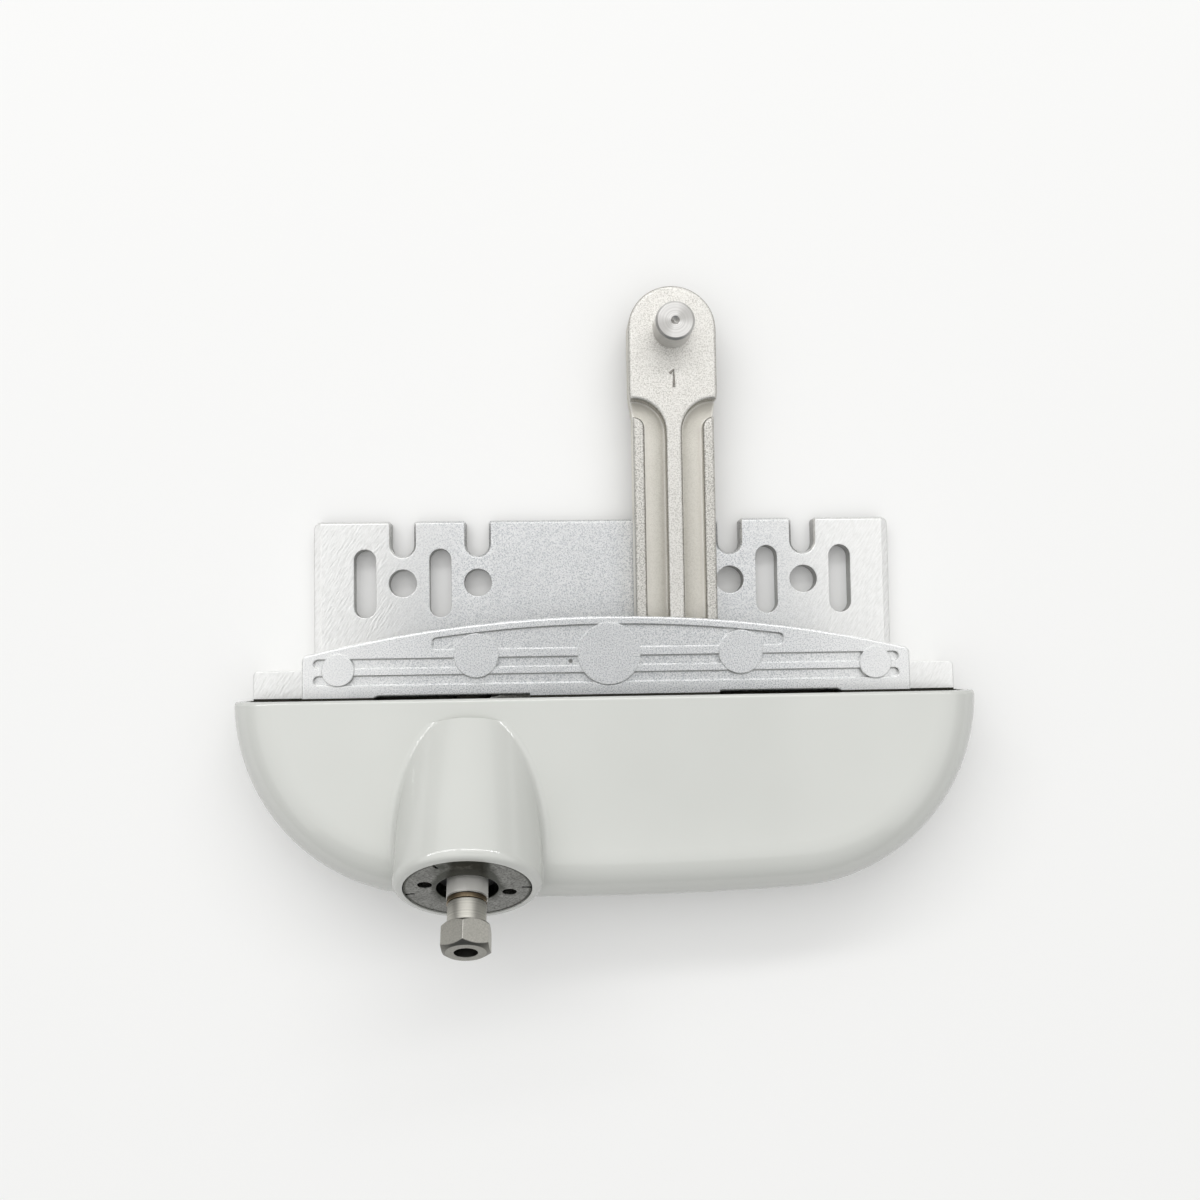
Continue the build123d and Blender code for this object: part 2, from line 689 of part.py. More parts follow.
# Arm: fluted bar with a round head, an elbow to the hub and the toothed sector, one casting
with BuildPart() as drive_arm:
    with BuildSketch(Plane.XY.offset(arm_bottom)):
        with Locations((arm_x, stud_y)):
            Circle(arm_head_radius)
        with BuildLine():
            Polyline(
                (arm_x - arm_head_radius, stud_y),
                (arm_x - arm_head_radius, arm_shoulder_y),
                (arm_x - arm_stem_width / 2, arm_neck_y),
                (arm_x - arm_stem_width / 2, arm_elbow_y),
                (arm_x + arm_stem_width / 2, arm_elbow_y),
                (arm_x + arm_stem_width / 2, arm_neck_y),
                (arm_x + arm_head_radius, arm_shoulder_y),
                (arm_x + arm_head_radius, stud_y),
                close=True,
            )
        make_face()
    extrude(amount=arm_thickness)
    with BuildSketch(Plane.XY.offset(arm_bottom)):
        with Locations((pivot_x, pivot_y)):
            Circle(arm_hub_radius)
        with Locations((arm_x, arm_elbow_y)):
            Circle(arm_stem_width / 2)
        make_hull()
    extrude(amount=arm_thickness)
    # Two flutes that run out through the sides below the head
    flute_inner = centre_rib_width / 2
    flute_outer = arm_stem_width / 2
    with BuildSketch(Plane.XY.offset(arm_top)):
        for side in (-1, 1):
            with Locations((arm_x + side * flute_outer, flute_start_y)):
                Circle(flute_arc_radius)
            with Locations((arm_x + side * (flute_inner + flute_outer + overshoot) / 2, flute_end_y)):
                flute_size = (flute_outer + overshoot - flute_inner, flute_start_y - flute_end_y)
                Rectangle(*flute_size, align=(Align.CENTER, Align.MIN))
    extrude(amount=-flute_depth, mode=Mode.SUBTRACT)
    with BuildSketch(Plane.XY.offset(arm_top - flute_depth)) as outer_ribs:
        for side in (-1, 1):
            with Locations((arm_x + side * (flute_outer - outer_rib_width / 2), flute_end_y)):
                Rectangle(outer_rib_width, outer_rib_start_y - flute_end_y, align=(Align.CENTER, Align.MIN))
        rib_corners = outer_ribs.vertices().group_by(Axis.Y)[-1].sort_by(Axis.X)
        fillet(rib_corners[1:3], outer_rib_round)
    extrude(amount=flute_depth - flute_rib_top)
    # Rounded upper edges of the head, the centre rib and the outer ribs
    for edge_z in (arm_top, arm_top - flute_rib_top):
        upper_edges = drive_arm.edges().filter_by_position(Axis.Z, edge_z - seat_fit, edge_z + seat_fit)
        fillet(upper_edges.filter_by_position(Axis.Y, flute_end_y, stud_y + arm_head_radius), arm_edge_radius)
    # Sector blank round the hub
    sector_start = 180 - arm_swing - sector_margin
    sector_sweep = arm_swing + 2 * sector_margin
    with BuildSketch(Plane.XY.offset(arm_bottom)):
        with BuildLine():
            blank = CenterArc((pivot_x, pivot_y), gear_root_radius, sector_start, sector_sweep)
            Line((pivot_x, pivot_y), blank @ 0)
            Line(blank @ 1, (pivot_x, pivot_y))
        make_face()
    extrude(amount=arm_thickness)
    # Helical teeth, each drawn through three turned sections
    half_pitch_thickness = transverse_pitch * tooth_share / 2
    twist = degrees(tan(helix_angle) / gear_pitch_radius)
    first_tooth = int((arm_swing + sector_margin) // tooth_angle)
    last_tooth = int(sector_margin // tooth_angle)
    for count in range(-first_tooth, last_tooth):
        for height in (arm_bottom, gear_middle, arm_top):
            turn = 180 + (count + 0.5) * tooth_angle - twist * (height - gear_middle)
            with BuildSketch(Plane.XY.offset(height)):
                with BuildLine():
                    corners = []
                    for side, radius in ((-1, 0), (-1, 1), (1, 1), (1, 0)):
                        reach = gear_tip_radius if radius else gear_root_radius - tooth_root_gap
                        half = half_pitch_thickness - (reach - gear_pitch_radius) * transverse_flank
                        angle = radians(turn) + side * half / reach
                        corners.append((pivot_x + reach * cos(angle), pivot_y + reach * sin(angle)))
                    Polyline(*corners, close=True)
                make_face()
        loft(ruled=True)
    # Bores for the stud and the pivot bushing
    with BuildSketch(Plane.XY.offset(arm_bottom)):
        with Locations((arm_x, stud_y)):
            Circle(stud_shank_diameter / 2 + seat_fit)
        with Locations((pivot_x, pivot_y)):
            Circle(pivot_pin_diameter / 2 + pivot_bushing_wall + running_fit)
    extrude(amount=arm_thickness, mode=Mode.SUBTRACT)
save(drive_arm, "drive_arm")

# Stud that runs in the sash track
with BuildPart() as track_stud:
    stud_radius = stud_diameter / 2
    stud_top = arm_top + stud_height
    dimple_radius = stud_dimple_diameter / 2
    with BuildSketch(Plane(origin=(arm_x, stud_y, 0), x_dir=(1, 0, 0), z_dir=(0, -1, 0))):
        with BuildLine():
            Polyline(
                (0, arm_bottom),
                (stud_shank_diameter / 2, arm_bottom),
                (stud_shank_diameter / 2, arm_top),
                (stud_radius, arm_top),
                (stud_radius, stud_top - stud_chamfer),
                (stud_radius - stud_chamfer, stud_top),
                (dimple_radius, stud_top),
                (0, stud_top - dimple_radius),
                close=True,
            )
        make_face()
    revolve(axis=Axis((arm_x, stud_y, 0), (0, 0, 1)))
save(track_stud, "track_stud")

# Pivot pin, from the sole to the top of the bridge
with BuildPart() as pivot_pin:
    with BuildSketch():
        with Locations((pivot_x, pivot_y)):
            Circle(pivot_pin_diameter / 2)
    extrude(amount=lip_top)
    chamfer(pivot_pin.edges().filter_by(GeomType.CIRCLE), pivot_pin_chamfer)
save(pivot_pin, "pivot_pin")

# Bushing pressed into the arm's hub
with BuildPart() as pivot_bushing:
    with BuildSketch(Plane.XY.offset(arm_bottom)):
        with Locations((pivot_x, pivot_y)):
            Circle(pivot_pin_diameter / 2 + pivot_bushing_wall)
            Circle(pivot_pin_diameter / 2 + running_fit, mode=Mode.SUBTRACT)
    extrude(amount=arm_thickness)
save(pivot_bushing, "pivot_bushing")

# Washers below and above the hub
for washer_name, washer_z in (
    ("pivot_washer_lower", flange_thickness),
    ("pivot_washer_upper", bridge_bottom - pivot_washer_thickness),
):
    with BuildPart() as pivot_washer:
        with BuildSketch(Plane.XY.offset(washer_z)):
            with Locations((pivot_x, pivot_y)):
                Circle(pivot_washer_diameter / 2)
                Circle(pivot_pin_diameter / 2 + running_fit, mode=Mode.SUBTRACT)
        extrude(amount=pivot_washer_thickness)
    save(pivot_washer, washer_name)

# Screws from below, one group for the bridge and one for the cover
for group_name, spots, tip in (
    ("bridge_screws", bridge_screw_spots, bridge_bottom + screw_bite - side_gap),
    ("cover_screws", cover_screw_spots, flange_thickness + cover_screw_bite - side_gap),
):
    with BuildPart() as screws:
        with BuildSketch(Plane.XY.offset(screw_head_recess)):
            with Locations(*spots):
                Circle(screw_head_radius)
        extrude(amount=screw_head_height)
        with BuildSketch(Plane.XY.offset(screw_seat)):
            with Locations(*spots):
                Circle(screw_radius)
        extrude(amount=tip - screw_seat)
        with BuildSketch(Plane.XY.offset(screw_head_recess)):
            with Locations(*spots):
                RegularPolygon(screw_drive_width / 2, 6, major_radius=False)
        extrude(amount=screw_drive_depth, mode=Mode.SUBTRACT)
    save(screws, group_name)
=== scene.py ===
# %% [markdown]
# # A casement window operator, dressed for a studio picture
#
# The operator winds a casement window open. A spindle in the slanted pod turns a worm, the worm turns
# a toothed sector, and the sector swings the fluted arm. The shapes are already solid. This lesson gives
# each piece the finish that it has on the real object: gloss enamel, bare cast zinc, tumbled cast steel
# and turned steel.

# %% Load the model
import json
from math import radians

import bpy
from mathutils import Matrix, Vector


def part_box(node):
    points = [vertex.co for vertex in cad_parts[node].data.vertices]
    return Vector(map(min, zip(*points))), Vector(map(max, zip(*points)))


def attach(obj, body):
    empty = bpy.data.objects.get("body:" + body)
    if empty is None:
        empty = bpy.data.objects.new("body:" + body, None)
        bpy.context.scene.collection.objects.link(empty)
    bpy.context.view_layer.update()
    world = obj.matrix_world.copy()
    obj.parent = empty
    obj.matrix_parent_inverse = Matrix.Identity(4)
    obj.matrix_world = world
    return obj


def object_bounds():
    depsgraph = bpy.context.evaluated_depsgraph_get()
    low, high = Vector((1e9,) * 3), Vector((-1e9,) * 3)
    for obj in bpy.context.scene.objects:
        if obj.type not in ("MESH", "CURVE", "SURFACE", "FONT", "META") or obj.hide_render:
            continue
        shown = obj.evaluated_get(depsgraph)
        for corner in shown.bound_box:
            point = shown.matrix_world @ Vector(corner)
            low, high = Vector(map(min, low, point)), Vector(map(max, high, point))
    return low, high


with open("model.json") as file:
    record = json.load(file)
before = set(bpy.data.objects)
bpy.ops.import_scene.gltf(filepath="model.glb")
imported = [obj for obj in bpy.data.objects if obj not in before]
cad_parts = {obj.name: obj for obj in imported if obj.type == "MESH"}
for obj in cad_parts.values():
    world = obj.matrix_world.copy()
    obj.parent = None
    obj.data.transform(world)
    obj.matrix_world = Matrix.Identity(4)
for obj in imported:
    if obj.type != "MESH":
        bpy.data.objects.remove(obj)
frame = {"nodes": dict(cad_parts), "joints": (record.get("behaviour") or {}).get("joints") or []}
cad_low, cad_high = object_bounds()
nodes = frame["nodes"]
millimetre = 0.001
print("pieces:", len(nodes), "size in mm:", [round(side / millimetre, 1) for side in cad_high - cad_low])

# %% [markdown]
# ## Landmarks
#
# Several finishes follow the shape of the part: turning marks run round the spindle, and the flutes of
# the arm are a different colour from its ribs. So the script first reads the spindle's axis from its joint,
# and the top of the arm, the middle of the stud and the back of the cover's rim from the pieces. Reading them
# keeps the finishes in place if the part changes.


# %% Read the landmarks
def middle_of(piece):
    """The middle of a piece's box."""
    low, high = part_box(piece)
    return (low + high) / 2


joints = {joint["name"]: joint for joint in frame["joints"]}
spindle_foot = Vector(joints["spindle_turn"]["pos_m"])
spindle_along = Vector(joints["spindle_turn"]["axis"])
spindle_tilt = spindle_along.to_track_quat("Z", "Y").to_euler()
stud_middle = middle_of("track_stud")
arm_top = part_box("drive_arm")[1].z
rim_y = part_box("front_cover")[1].y
print("spindle axis:", [round(part, 3) for part in spindle_along])
print("arm top in mm:", round(arm_top / millimetre, 2), "cover rim in mm:", round(rim_y / millimetre, 2))

# %% [markdown]
# ## Node helpers
#
# A material is a net of nodes. Writing each node and each link by hand takes many lines, so a few helpers do
# it. The first ones add a node and start a material, the next two start and place a node group, and the
# last ones do one step of arithmetic each, so that the recipes below stay short.


# %% Nodes and materials
def feed(tree, socket, source):
    """Link a socket to the output that it comes from, or set it to a plain value."""
    if isinstance(source, bpy.types.NodeSocket):
        tree.links.new(source, socket)
    else:
        socket.default_value = source


def add(tree, kind, links=(), **settings):
    """Add a node, set its properties by name and feed the given inputs."""
    node = tree.nodes.new(kind)
    for name, value in settings.items():
        setattr(node, name, value)
    for socket, source in links:
        feed(tree, node.inputs[socket], source)
    return node


def start_material(name, **shader_values):
    """A new material with its tree, its shader and the object's own coordinates."""
    material = bpy.data.materials.new(name)
    material.use_nodes = True
    tree = material.node_tree
    shader = tree.nodes["Principled BSDF"]
    for socket, value in shader_values.items():
        shader.inputs[socket.replace("_", " ")].default_value = value
    place = add(tree, "ShaderNodeTexCoord").outputs["Object"]
    return material, tree, shader, place


print("helpers: feed, add, start_material")


# %% Groups
def start_group(name, inputs, outputs):
    """A new node group with named sockets: inputs with start values, outputs by kind."""
    tree = bpy.data.node_groups.new(name, "ShaderNodeTree")
    kinds = {float: "NodeSocketFloat", Vector: "NodeSocketVector"}
    for socket, value in inputs.items():
        made = tree.interface.new_socket(socket, in_out="INPUT", socket_type=kinds[type(value)])
        made.default_value = value
    for socket, kind in outputs.items():
        tree.interface.new_socket(socket, in_out="OUTPUT", socket_type=kinds[kind])
    return tree, tree.nodes.new("NodeGroupInput").outputs, tree.nodes.new("NodeGroupOutput").inputs


def use_group(tree, group, links):
    """Place a node group in a material and hand back its outputs."""
    return add(tree, "ShaderNodeGroup", links, node_tree=group).outputs


print("helpers: start_group, use_group")


# %% Values
def split(tree, place):
    """The parts X, Y and Z of a place or a direction."""
    return add(tree, "ShaderNodeSeparateXYZ", [(0, place)]).outputs


def calculate(tree, operation, *values):
    """One step of arithmetic."""
    return add(tree, "ShaderNodeMath", list(enumerate(values)), operation=operation).outputs[0]


def spread(tree, source, low, high, out_low=0.0, out_high=1.0):
    """Stretch a value from one range to another, held at both ends."""
    links = [("Value", source), ("From Min", low), ("From Max", high)]
    links += [("To Min", out_low), ("To Max", out_high)]
    return add(tree, "ShaderNodeMapRange", links).outputs["Result"]


def noise(tree, place, scale, detail=2.0, roughness=0.5):
    """A noise value at each place."""
    links = [("Vector", place), ("Scale", scale), ("Detail", detail), ("Roughness", roughness)]
    return add(tree, "ShaderNodeTexNoise", links).outputs["Fac"]


print("helpers: split, calculate, spread, noise")

# %% [markdown]
# ## Cast grain
#
# Zinc and steel castings are tumbled or blasted after they leave the mould, so their skin is a field of tiny
# dents. Each dent tips the surface a little and flashes or darkens by itself, which reads as speckle. The
# grain could be modelled, but at a third of a millimetre it is cheaper and finer as noise. The zinc and the
# steel share it, so it is a node group. It gives a speckle mask, a slower mottle and a height for bump.

# %% Cast grain group
grain_tree, grain_in, grain_out = start_group(
    "cast_grain",
    {"Place": Vector(), "Grain size": 0.4 * millimetre, "Mottle size": 6.0 * millimetre},
    {"Speckle": float, "Mottle": float, "Height": float},
)
dents_per_grain = 1.8
grain_scale = calculate(grain_tree, "DIVIDE", 1.0, grain_in["Grain size"])
mottle_scale = calculate(grain_tree, "DIVIDE", 1.0, grain_in["Mottle size"])
dent_scale = calculate(grain_tree, "MULTIPLY", grain_scale, dents_per_grain)
grain_fine = noise(grain_tree, grain_in["Place"], grain_scale, roughness=0.6)
grain_tree.links.new(spread(grain_tree, grain_fine, 0.36, 0.56), grain_out["Speckle"])
grain_slow = noise(grain_tree, grain_in["Place"], mottle_scale, detail=3.0)
grain_tree.links.new(spread(grain_tree, grain_slow, 0.3, 0.7), grain_out["Mottle"])
grain_tree.links.new(noise(grain_tree, grain_in["Place"], dent_scale), grain_out["Height"])
print("group:", grain_tree.name)

# %% [markdown]
# ## Edges: wear and painted light
#
# Handling polishes the corners of bare metal first. A bevel node rounds the normal near each edge, and the
# difference between that normal and the true one is a mask of the edges. The materials use that mask for
# rubbed wear, and also for painted highlights and painted shade along the edges. The same rounded normal also
# takes the knife edge off the corners, so they catch a thin line of light.

# %% Edge group for wear and painted light
edge_tree, edge_in, edge_out = start_group(
    "edge_wear_and_painted_light", {"Width": 0.3 * millimetre}, {"Edge": float, "Normal": Vector}
)
edge_round = add(edge_tree, "ShaderNodeBevel", [("Radius", edge_in["Width"])], samples=6).outputs["Normal"]
edge_true = add(edge_tree, "ShaderNodeNewGeometry").outputs["Normal"]
edge_dot = add(edge_tree, "ShaderNodeVectorMath", [(0, edge_round), (1, edge_true)], operation="DOT_PRODUCT")
edge_tree.links.new(spread(edge_tree, edge_dot.outputs["Value"], 0.99, 0.85), edge_out["Edge"])
edge_tree.links.new(edge_round, edge_out["Normal"])
print("group:", edge_tree.name)

# %% [markdown]
# ## Turning marks
#
# A lathe tool leaves fine rings: round the walls of a shaft and as circles on its end. If the place is
# measured from the lathe axis, the sum of the radius and the height changes along both, so one
# noise of that sum draws both kinds of ring.


# %% Turning marks group
def distance_from_axis(tree, sideways, upward):
    """How far a place lies from the lathe axis."""
    flat = add(tree, "ShaderNodeCombineXYZ", [(0, sideways), (1, upward)]).outputs[0]
    return add(tree, "ShaderNodeVectorMath", [(0, flat)], operation="LENGTH").outputs["Value"]


turning_tree, turning_in, turning_out = start_group(
    "turning_marks", {"Place": Vector(), "Ring width": 0.2 * millimetre}, {"Rings": float}
)
turning_side, turning_up, turning_along = split(turning_tree, turning_in["Place"])
turning_radius = distance_from_axis(turning_tree, turning_side, turning_up)
turning_sum = calculate(turning_tree, "ADD", turning_radius, turning_along)
turning_count = calculate(turning_tree, "DIVIDE", turning_sum, turning_in["Ring width"])
turning_links = [("W", turning_count), ("Scale", 1.0), ("Detail", 3.0)]
turning_noise = add(turning_tree, "ShaderNodeTexNoise", noise_dimensions="1D", links=turning_links)
turning_tree.links.new(turning_noise.outputs["Fac"], turning_out["Rings"])
print("group:", turning_tree.name)

# %% [markdown]
# ## Oil stains and painted reflection
#
# The spindle is oiled at the factory, and a brown film creeps out of the bore over the nearby steel. The
# film is patchy, so it is noise cut at a threshold. The amount is a value that each material sets by place:
# more near the bore and in the ring groove, and none on the clean faces. On the retainer the same patches
# also paint the dark reflection of the spindle.

# %% Oil and painted reflection group
oil_reflection_tree, oil_reflection_in, oil_reflection_out = start_group(
    "oil_and_painted_reflection", {"Place": Vector(), "Patch size": 2.0 * millimetre, "Amount": 0.0}, {"Oil and reflection": float}
)
patch_scale = calculate(oil_reflection_tree, "DIVIDE", 1.0, oil_reflection_in["Patch size"])
patch_noise = noise(oil_reflection_tree, oil_reflection_in["Place"], patch_scale, detail=4.0, roughness=0.6)
patch_level = calculate(oil_reflection_tree, "ADD", patch_noise, oil_reflection_in["Amount"])
oil_reflection_tree.links.new(spread(oil_reflection_tree, patch_level, 0.75, 1.05), oil_reflection_out["Oil and reflection"])
print("group:", oil_reflection_tree.name)

# %% [markdown]
# ## Scattered specks
#
# Dust caught in the paint and pits in a casting are both small dark spots, far apart and each of its own
# size. They could be dents in the mesh, but they are too small for that. A Voronoi texture puts one spot in
# each of its cells and gives the cell a random colour. That colour decides which cells keep their spot, and
# how large it is.

# %% Scattered specks group
speck_tree, speck_in, speck_out = start_group(
    "scattered_specks",
    {"Place": Vector(), "Cells per metre": 100.0, "Bare share": 0.8, "Largest": 0.03},
    {"Specks": float},
)
speck_links = [("Vector", speck_in["Place"]), ("Scale", speck_in["Cells per metre"])]
speck_cells = add(speck_tree, "ShaderNodeTexVoronoi", speck_links).outputs
speck_chosen = add(speck_tree, "ShaderNodeSeparateColor", [(0, speck_cells["Color"])]).outputs[0]
speck_size = spread(speck_tree, speck_chosen, speck_in["Bare share"], 1.0, 0.0, speck_in["Largest"])
speck_mask = calculate(speck_tree, "LESS_THAN", speck_cells["Distance"], speck_size)
speck_tree.links.new(speck_mask, speck_out["Specks"])
print("group:", speck_tree.name)

# %% [markdown]
# ## Gloss enamel on the cover
#
# The cover is a casting sprayed with off-white enamel: a smooth, slightly warm grey coat with a clear gloss.
# Sprayed paint is never quite flat, so a very low bump gives it a faint orange peel. A few grains of
# dust are caught in it.


# %% Mixing and bump
def mix_colour(tree, share, first, second):
    """Blend two colours by a share from 0 to 1."""
    return add(tree, "ShaderNodeMix", [(0, share), (6, first), (7, second)], data_type="RGBA").outputs[2]


def mix_value(tree, share, first, second):
    """Blend two values by a share from 0 to 1."""
    return add(tree, "ShaderNodeMix", [(0, share), (2, first), (3, second)]).outputs[0]


def bump_surface(tree, shader, height, strength, depth, corners=None):
    """Dent the surface by a height, on top of the rounded corners where they are given."""
    links = [("Height", height), ("Strength", strength), ("Distance", depth)]
    if corners is not None:
        links.append(("Normal", corners))
    bump = add(tree, "ShaderNodeBump", links)
    tree.links.new(bump.outputs["Normal"], shader.inputs["Normal"])


print("helpers: mix_colour, mix_value, bump_surface")

# %% Enamel
enamel_clean = (0.70, 0.71, 0.675, 1.0)
enamel_deep = (0.675, 0.685, 0.65, 1.0)
enamel_dust = (0.33, 0.33, 0.31, 1.0)
clouds_per_metre = 28.0
peel_per_metre = 620.0
enamel, tree, shader, place = start_material("cover_enamel", Roughness=0.14)
cloud = spread(tree, noise(tree, place, clouds_per_metre, detail=3.0), 0.35, 0.65)
paint = mix_colour(tree, cloud, enamel_clean, enamel_deep)
links = [("Place", place), ("Cells per metre", 95.0), ("Bare share", 0.72), ("Largest", 0.022)]
dust = use_group(tree, speck_tree, links)["Specks"]
tree.links.new(mix_colour(tree, dust, paint, enamel_dust), shader.inputs["Base Color"])
peel = noise(tree, place, peel_per_metre, detail=1.0)
bump_surface(tree, shader, peel, strength=0.05, depth=0.2 * millimetre)
print("material:", enamel.name)

# %% [markdown]
# ## Painted shade and gear grease
#
# Two more effects belong to both zinc castings. Holes, walls and groove corners are darkened as painted
# shade. And behind the cover's rim the gears throw dark grease over the walls; it reaches a little past the
# rim, where it paints the shade line of the gap. Both could be painted by hand, but the part's own sizes say
# where they lie. So each is a mask that is 1 inside given limits.

# %% Painted shade band group
shade_band_tree, shade_band_in, shade_band_out = start_group(
    "painted_shade_band",
    {"Place": Vector(), "Lowest": 0.0, "Highest": 4.0 * millimetre, "Half width": 65.0 * millimetre},
    {"Level": float},
)
band_parts = split(shade_band_tree, shade_band_in["Place"])
band_over = calculate(shade_band_tree, "GREATER_THAN", band_parts["Z"], shade_band_in["Lowest"])
band_under = calculate(shade_band_tree, "LESS_THAN", band_parts["Z"], shade_band_in["Highest"])
band_aside = calculate(shade_band_tree, "ABSOLUTE", band_parts["X"])
band_within = calculate(shade_band_tree, "LESS_THAN", band_aside, shade_band_in["Half width"])
band_mask = calculate(shade_band_tree, "MULTIPLY", band_over, band_under)
shade_band_tree.links.new(calculate(shade_band_tree, "MULTIPLY", band_mask, band_within), shade_band_out["Level"])
print("group:", shade_band_tree.name)

# %% Grease and rim shade group
grease_shade_tree, grease_shade_in, grease_shade_out = start_group(
    "grease_and_shade", {"Place": Vector(), "Rim": 0.0, "Sole": 0.0}, {"Grease and shade": float}
)
grease_shade_parts = split(grease_shade_tree, grease_shade_in["Place"])
behind_rim = calculate(grease_shade_tree, "LESS_THAN", grease_shade_parts["Y"], grease_shade_in["Rim"])
above_sole = calculate(grease_shade_tree, "GREATER_THAN", grease_shade_parts["Z"], grease_shade_in["Sole"])
grease_shade_tree.links.new(calculate(grease_shade_tree, "MULTIPLY", behind_rim, above_sole), grease_shade_out["Grease and shade"])
print("group:", grease_shade_tree.name)

# %% [markdown]
# ## Bare zinc
#
# The base and the bridge are die-cast zinc, left bare. Zinc is a pale, slightly blue metal. It reflects the
# room as a soft blur, broken up by the cast grain and a few casting pits. The base was also brushed at its
# ends, so it has faint slanted strokes there, drawn by noise stretched along one direction. Its hole walls
# and edges are darkened as painted shade. The bridge grows paler towards its ends, and painted shade sits in
# the corners of its grooves. A wide bevel finds those corners: inside a hollow, the rounded normal leans the
# other way.


# %% Zinc recipe
zinc_light = (0.98, 0.985, 0.98, 1.0)
zinc_dark = (0.58, 0.60, 0.615, 1.0)
zinc_pale = (0.995, 0.995, 0.98, 1.0)
zinc_pit = (0.26, 0.26, 0.25, 1.0)
# Painted shade colour for holes, walls and groove corners
zinc_painted_shade = (0.22, 0.22, 0.21, 1.0)
zinc_corner = 0.3 * millimetre
mottle_share = 0.12
shade_half = 65.0 * millimetre
shade_share = 0.85


def grain_zinc(tree, place):
    """The cast grain of zinc and its speckled colour."""
    links = [("Place", place), ("Grain size", 0.3 * millimetre), ("Mottle size", 9.0 * millimetre)]
    grain = use_group(tree, grain_tree, links)
    speckled = mix_colour(tree, grain["Speckle"], zinc_dark, zinc_light)
    mottle = calculate(tree, "MULTIPLY", grain["Mottle"], mottle_share)
    return grain, mix_colour(tree, mottle, speckled, zinc_dark)


def pit_zinc(tree, place, colour):
    """Add a few casting pits to the colour."""
    links = [("Place", place), ("Cells per metre", 170.0), ("Bare share", 0.8), ("Largest", 0.035)]
    return mix_colour(tree, use_group(tree, speck_tree, links)["Specks"], colour, zinc_pit)


def shade_zinc(tree, place, colour, corner, lowest, highest):
    """Add painted shade to the masked corners between two heights."""
    links = [("Place", place), ("Lowest", lowest), ("Highest", highest), ("Half width", shade_half)]
    shaded_corners = calculate(tree, "MULTIPLY", use_group(tree, shade_band_tree, links)["Level"], corner)
    return mix_colour(tree, calculate(tree, "MULTIPLY", shaded_corners, shade_share), colour, zinc_painted_shade)


# The skin step paints shade into holes, walls and groove corners
print("zinc recipe: grain, pits, skin")


# %% Zinc surface
grease_and_shade = (0.05, 0.048, 0.04, 1.0)
grease_rough = 0.6
# Past the rim by this margin, the dark paints the shade line of the gap
grease_shade_margin = 0.4 * millimetre
zinc_rough = 0.36
zinc_gloss = 0.285


def finish_zinc(tree, shader, place, colour, grain, height, corners):
    """Darken the greased inside and the gap past the rim as painted shade, and feed the shader."""
    links = [("Place", place), ("Rim", rim_y + grease_shade_margin), ("Sole", grease_shade_margin)]
    grease_shade = use_group(tree, grease_shade_tree, links)["Grease and shade"]
    tree.links.new(mix_colour(tree, grease_shade, colour, grease_and_shade), shader.inputs["Base Color"])
    gloss = mix_value(tree, grain["Speckle"], zinc_rough, zinc_gloss)
    tree.links.new(mix_value(tree, grease_shade, gloss, grease_rough), shader.inputs["Roughness"])
    bump_surface(tree, shader, height, strength=0.6, depth=0.1 * millimetre, corners=corners)


print("zinc roughness:", zinc_gloss, "to", zinc_rough)


# %% Base zinc
def level_share(tree):
    """How level a surface is: 1 if it faces up or down, 0 if it is a wall."""
    facing = add(tree, "ShaderNodeTexCoord").outputs["Normal"]
    return calculate(tree, "ABSOLUTE", split(tree, facing)["Z"])


stroke_grey = (0.90, 0.90, 0.88, 1.0)
stroke_turn = (0.0, 0.0, radians(56))
stroke_size = Vector((2.0, 0.4, 2.0)) * millimetre
flange_shade = (-0.1 * millimetre, 3.95 * millimetre)
base_zinc, tree, shader, place = start_material("base_zinc", Metallic=1.0)
grain, colour = grain_zinc(tree, place)
edge = use_group(tree, edge_tree, [("Width", zinc_corner)])
links = [("Vector", place), ("Rotation", stroke_turn), ("Scale", stroke_size)]
slanted = add(tree, "ShaderNodeMapping", links, vector_type="TEXTURE").outputs["Vector"]
strokes = noise(tree, slanted, 1.0)
aside = calculate(tree, "ABSOLUTE", split(tree, place)["X"])
brushed = spread(tree, aside, 32.0 * millimetre, 52.0 * millimetre, 0.0, 0.95)
height = mix_value(tree, brushed, grain["Height"], strokes)
stroked = mix_colour(tree, spread(tree, strokes, 0.35, 0.65), stroke_grey, zinc_pale)
colour = pit_zinc(tree, place, mix_colour(tree, brushed, colour, stroked))
# Painted shade on the walls and edges of the flange
wall = spread(tree, level_share(tree), 0.7, 0.4)
corner = calculate(tree, "MAXIMUM", edge["Edge"], wall)
colour = shade_zinc(tree, place, colour, corner, *flange_shade)
finish_zinc(tree, shader, place, colour, grain, height, edge["Normal"])
print("material:", base_zinc.name)

# %% Bridge zinc
lip_pit = Vector((-8.4, -18.3, 16.9)) * millimetre
hollow_width = 0.7 * millimetre
bridge_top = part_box("upper_bridge")[1].z
groove_shade = (bridge_top - 2.6 * millimetre, bridge_top - 0.6 * millimetre)
bridge_zinc, tree, shader, place = start_material("bridge_zinc", Metallic=1.0)
grain, colour = grain_zinc(tree, place)
edge = use_group(tree, edge_tree, [("Width", zinc_corner)])
away = add(tree, "ShaderNodeVectorMath", [(0, place), (1, lip_pit)], operation="DISTANCE").outputs["Value"]
in_pit = spread(tree, away, 0.6 * millimetre, 0.3 * millimetre)
colour = pit_zinc(tree, place, mix_colour(tree, in_pit, colour, zinc_pit))
aside = calculate(tree, "ABSOLUTE", split(tree, place)["X"])
pale_end = spread(tree, aside, 36.0 * millimetre, 64.0 * millimetre, 0.0, 0.6)
colour = mix_colour(tree, pale_end, colour, zinc_pale)
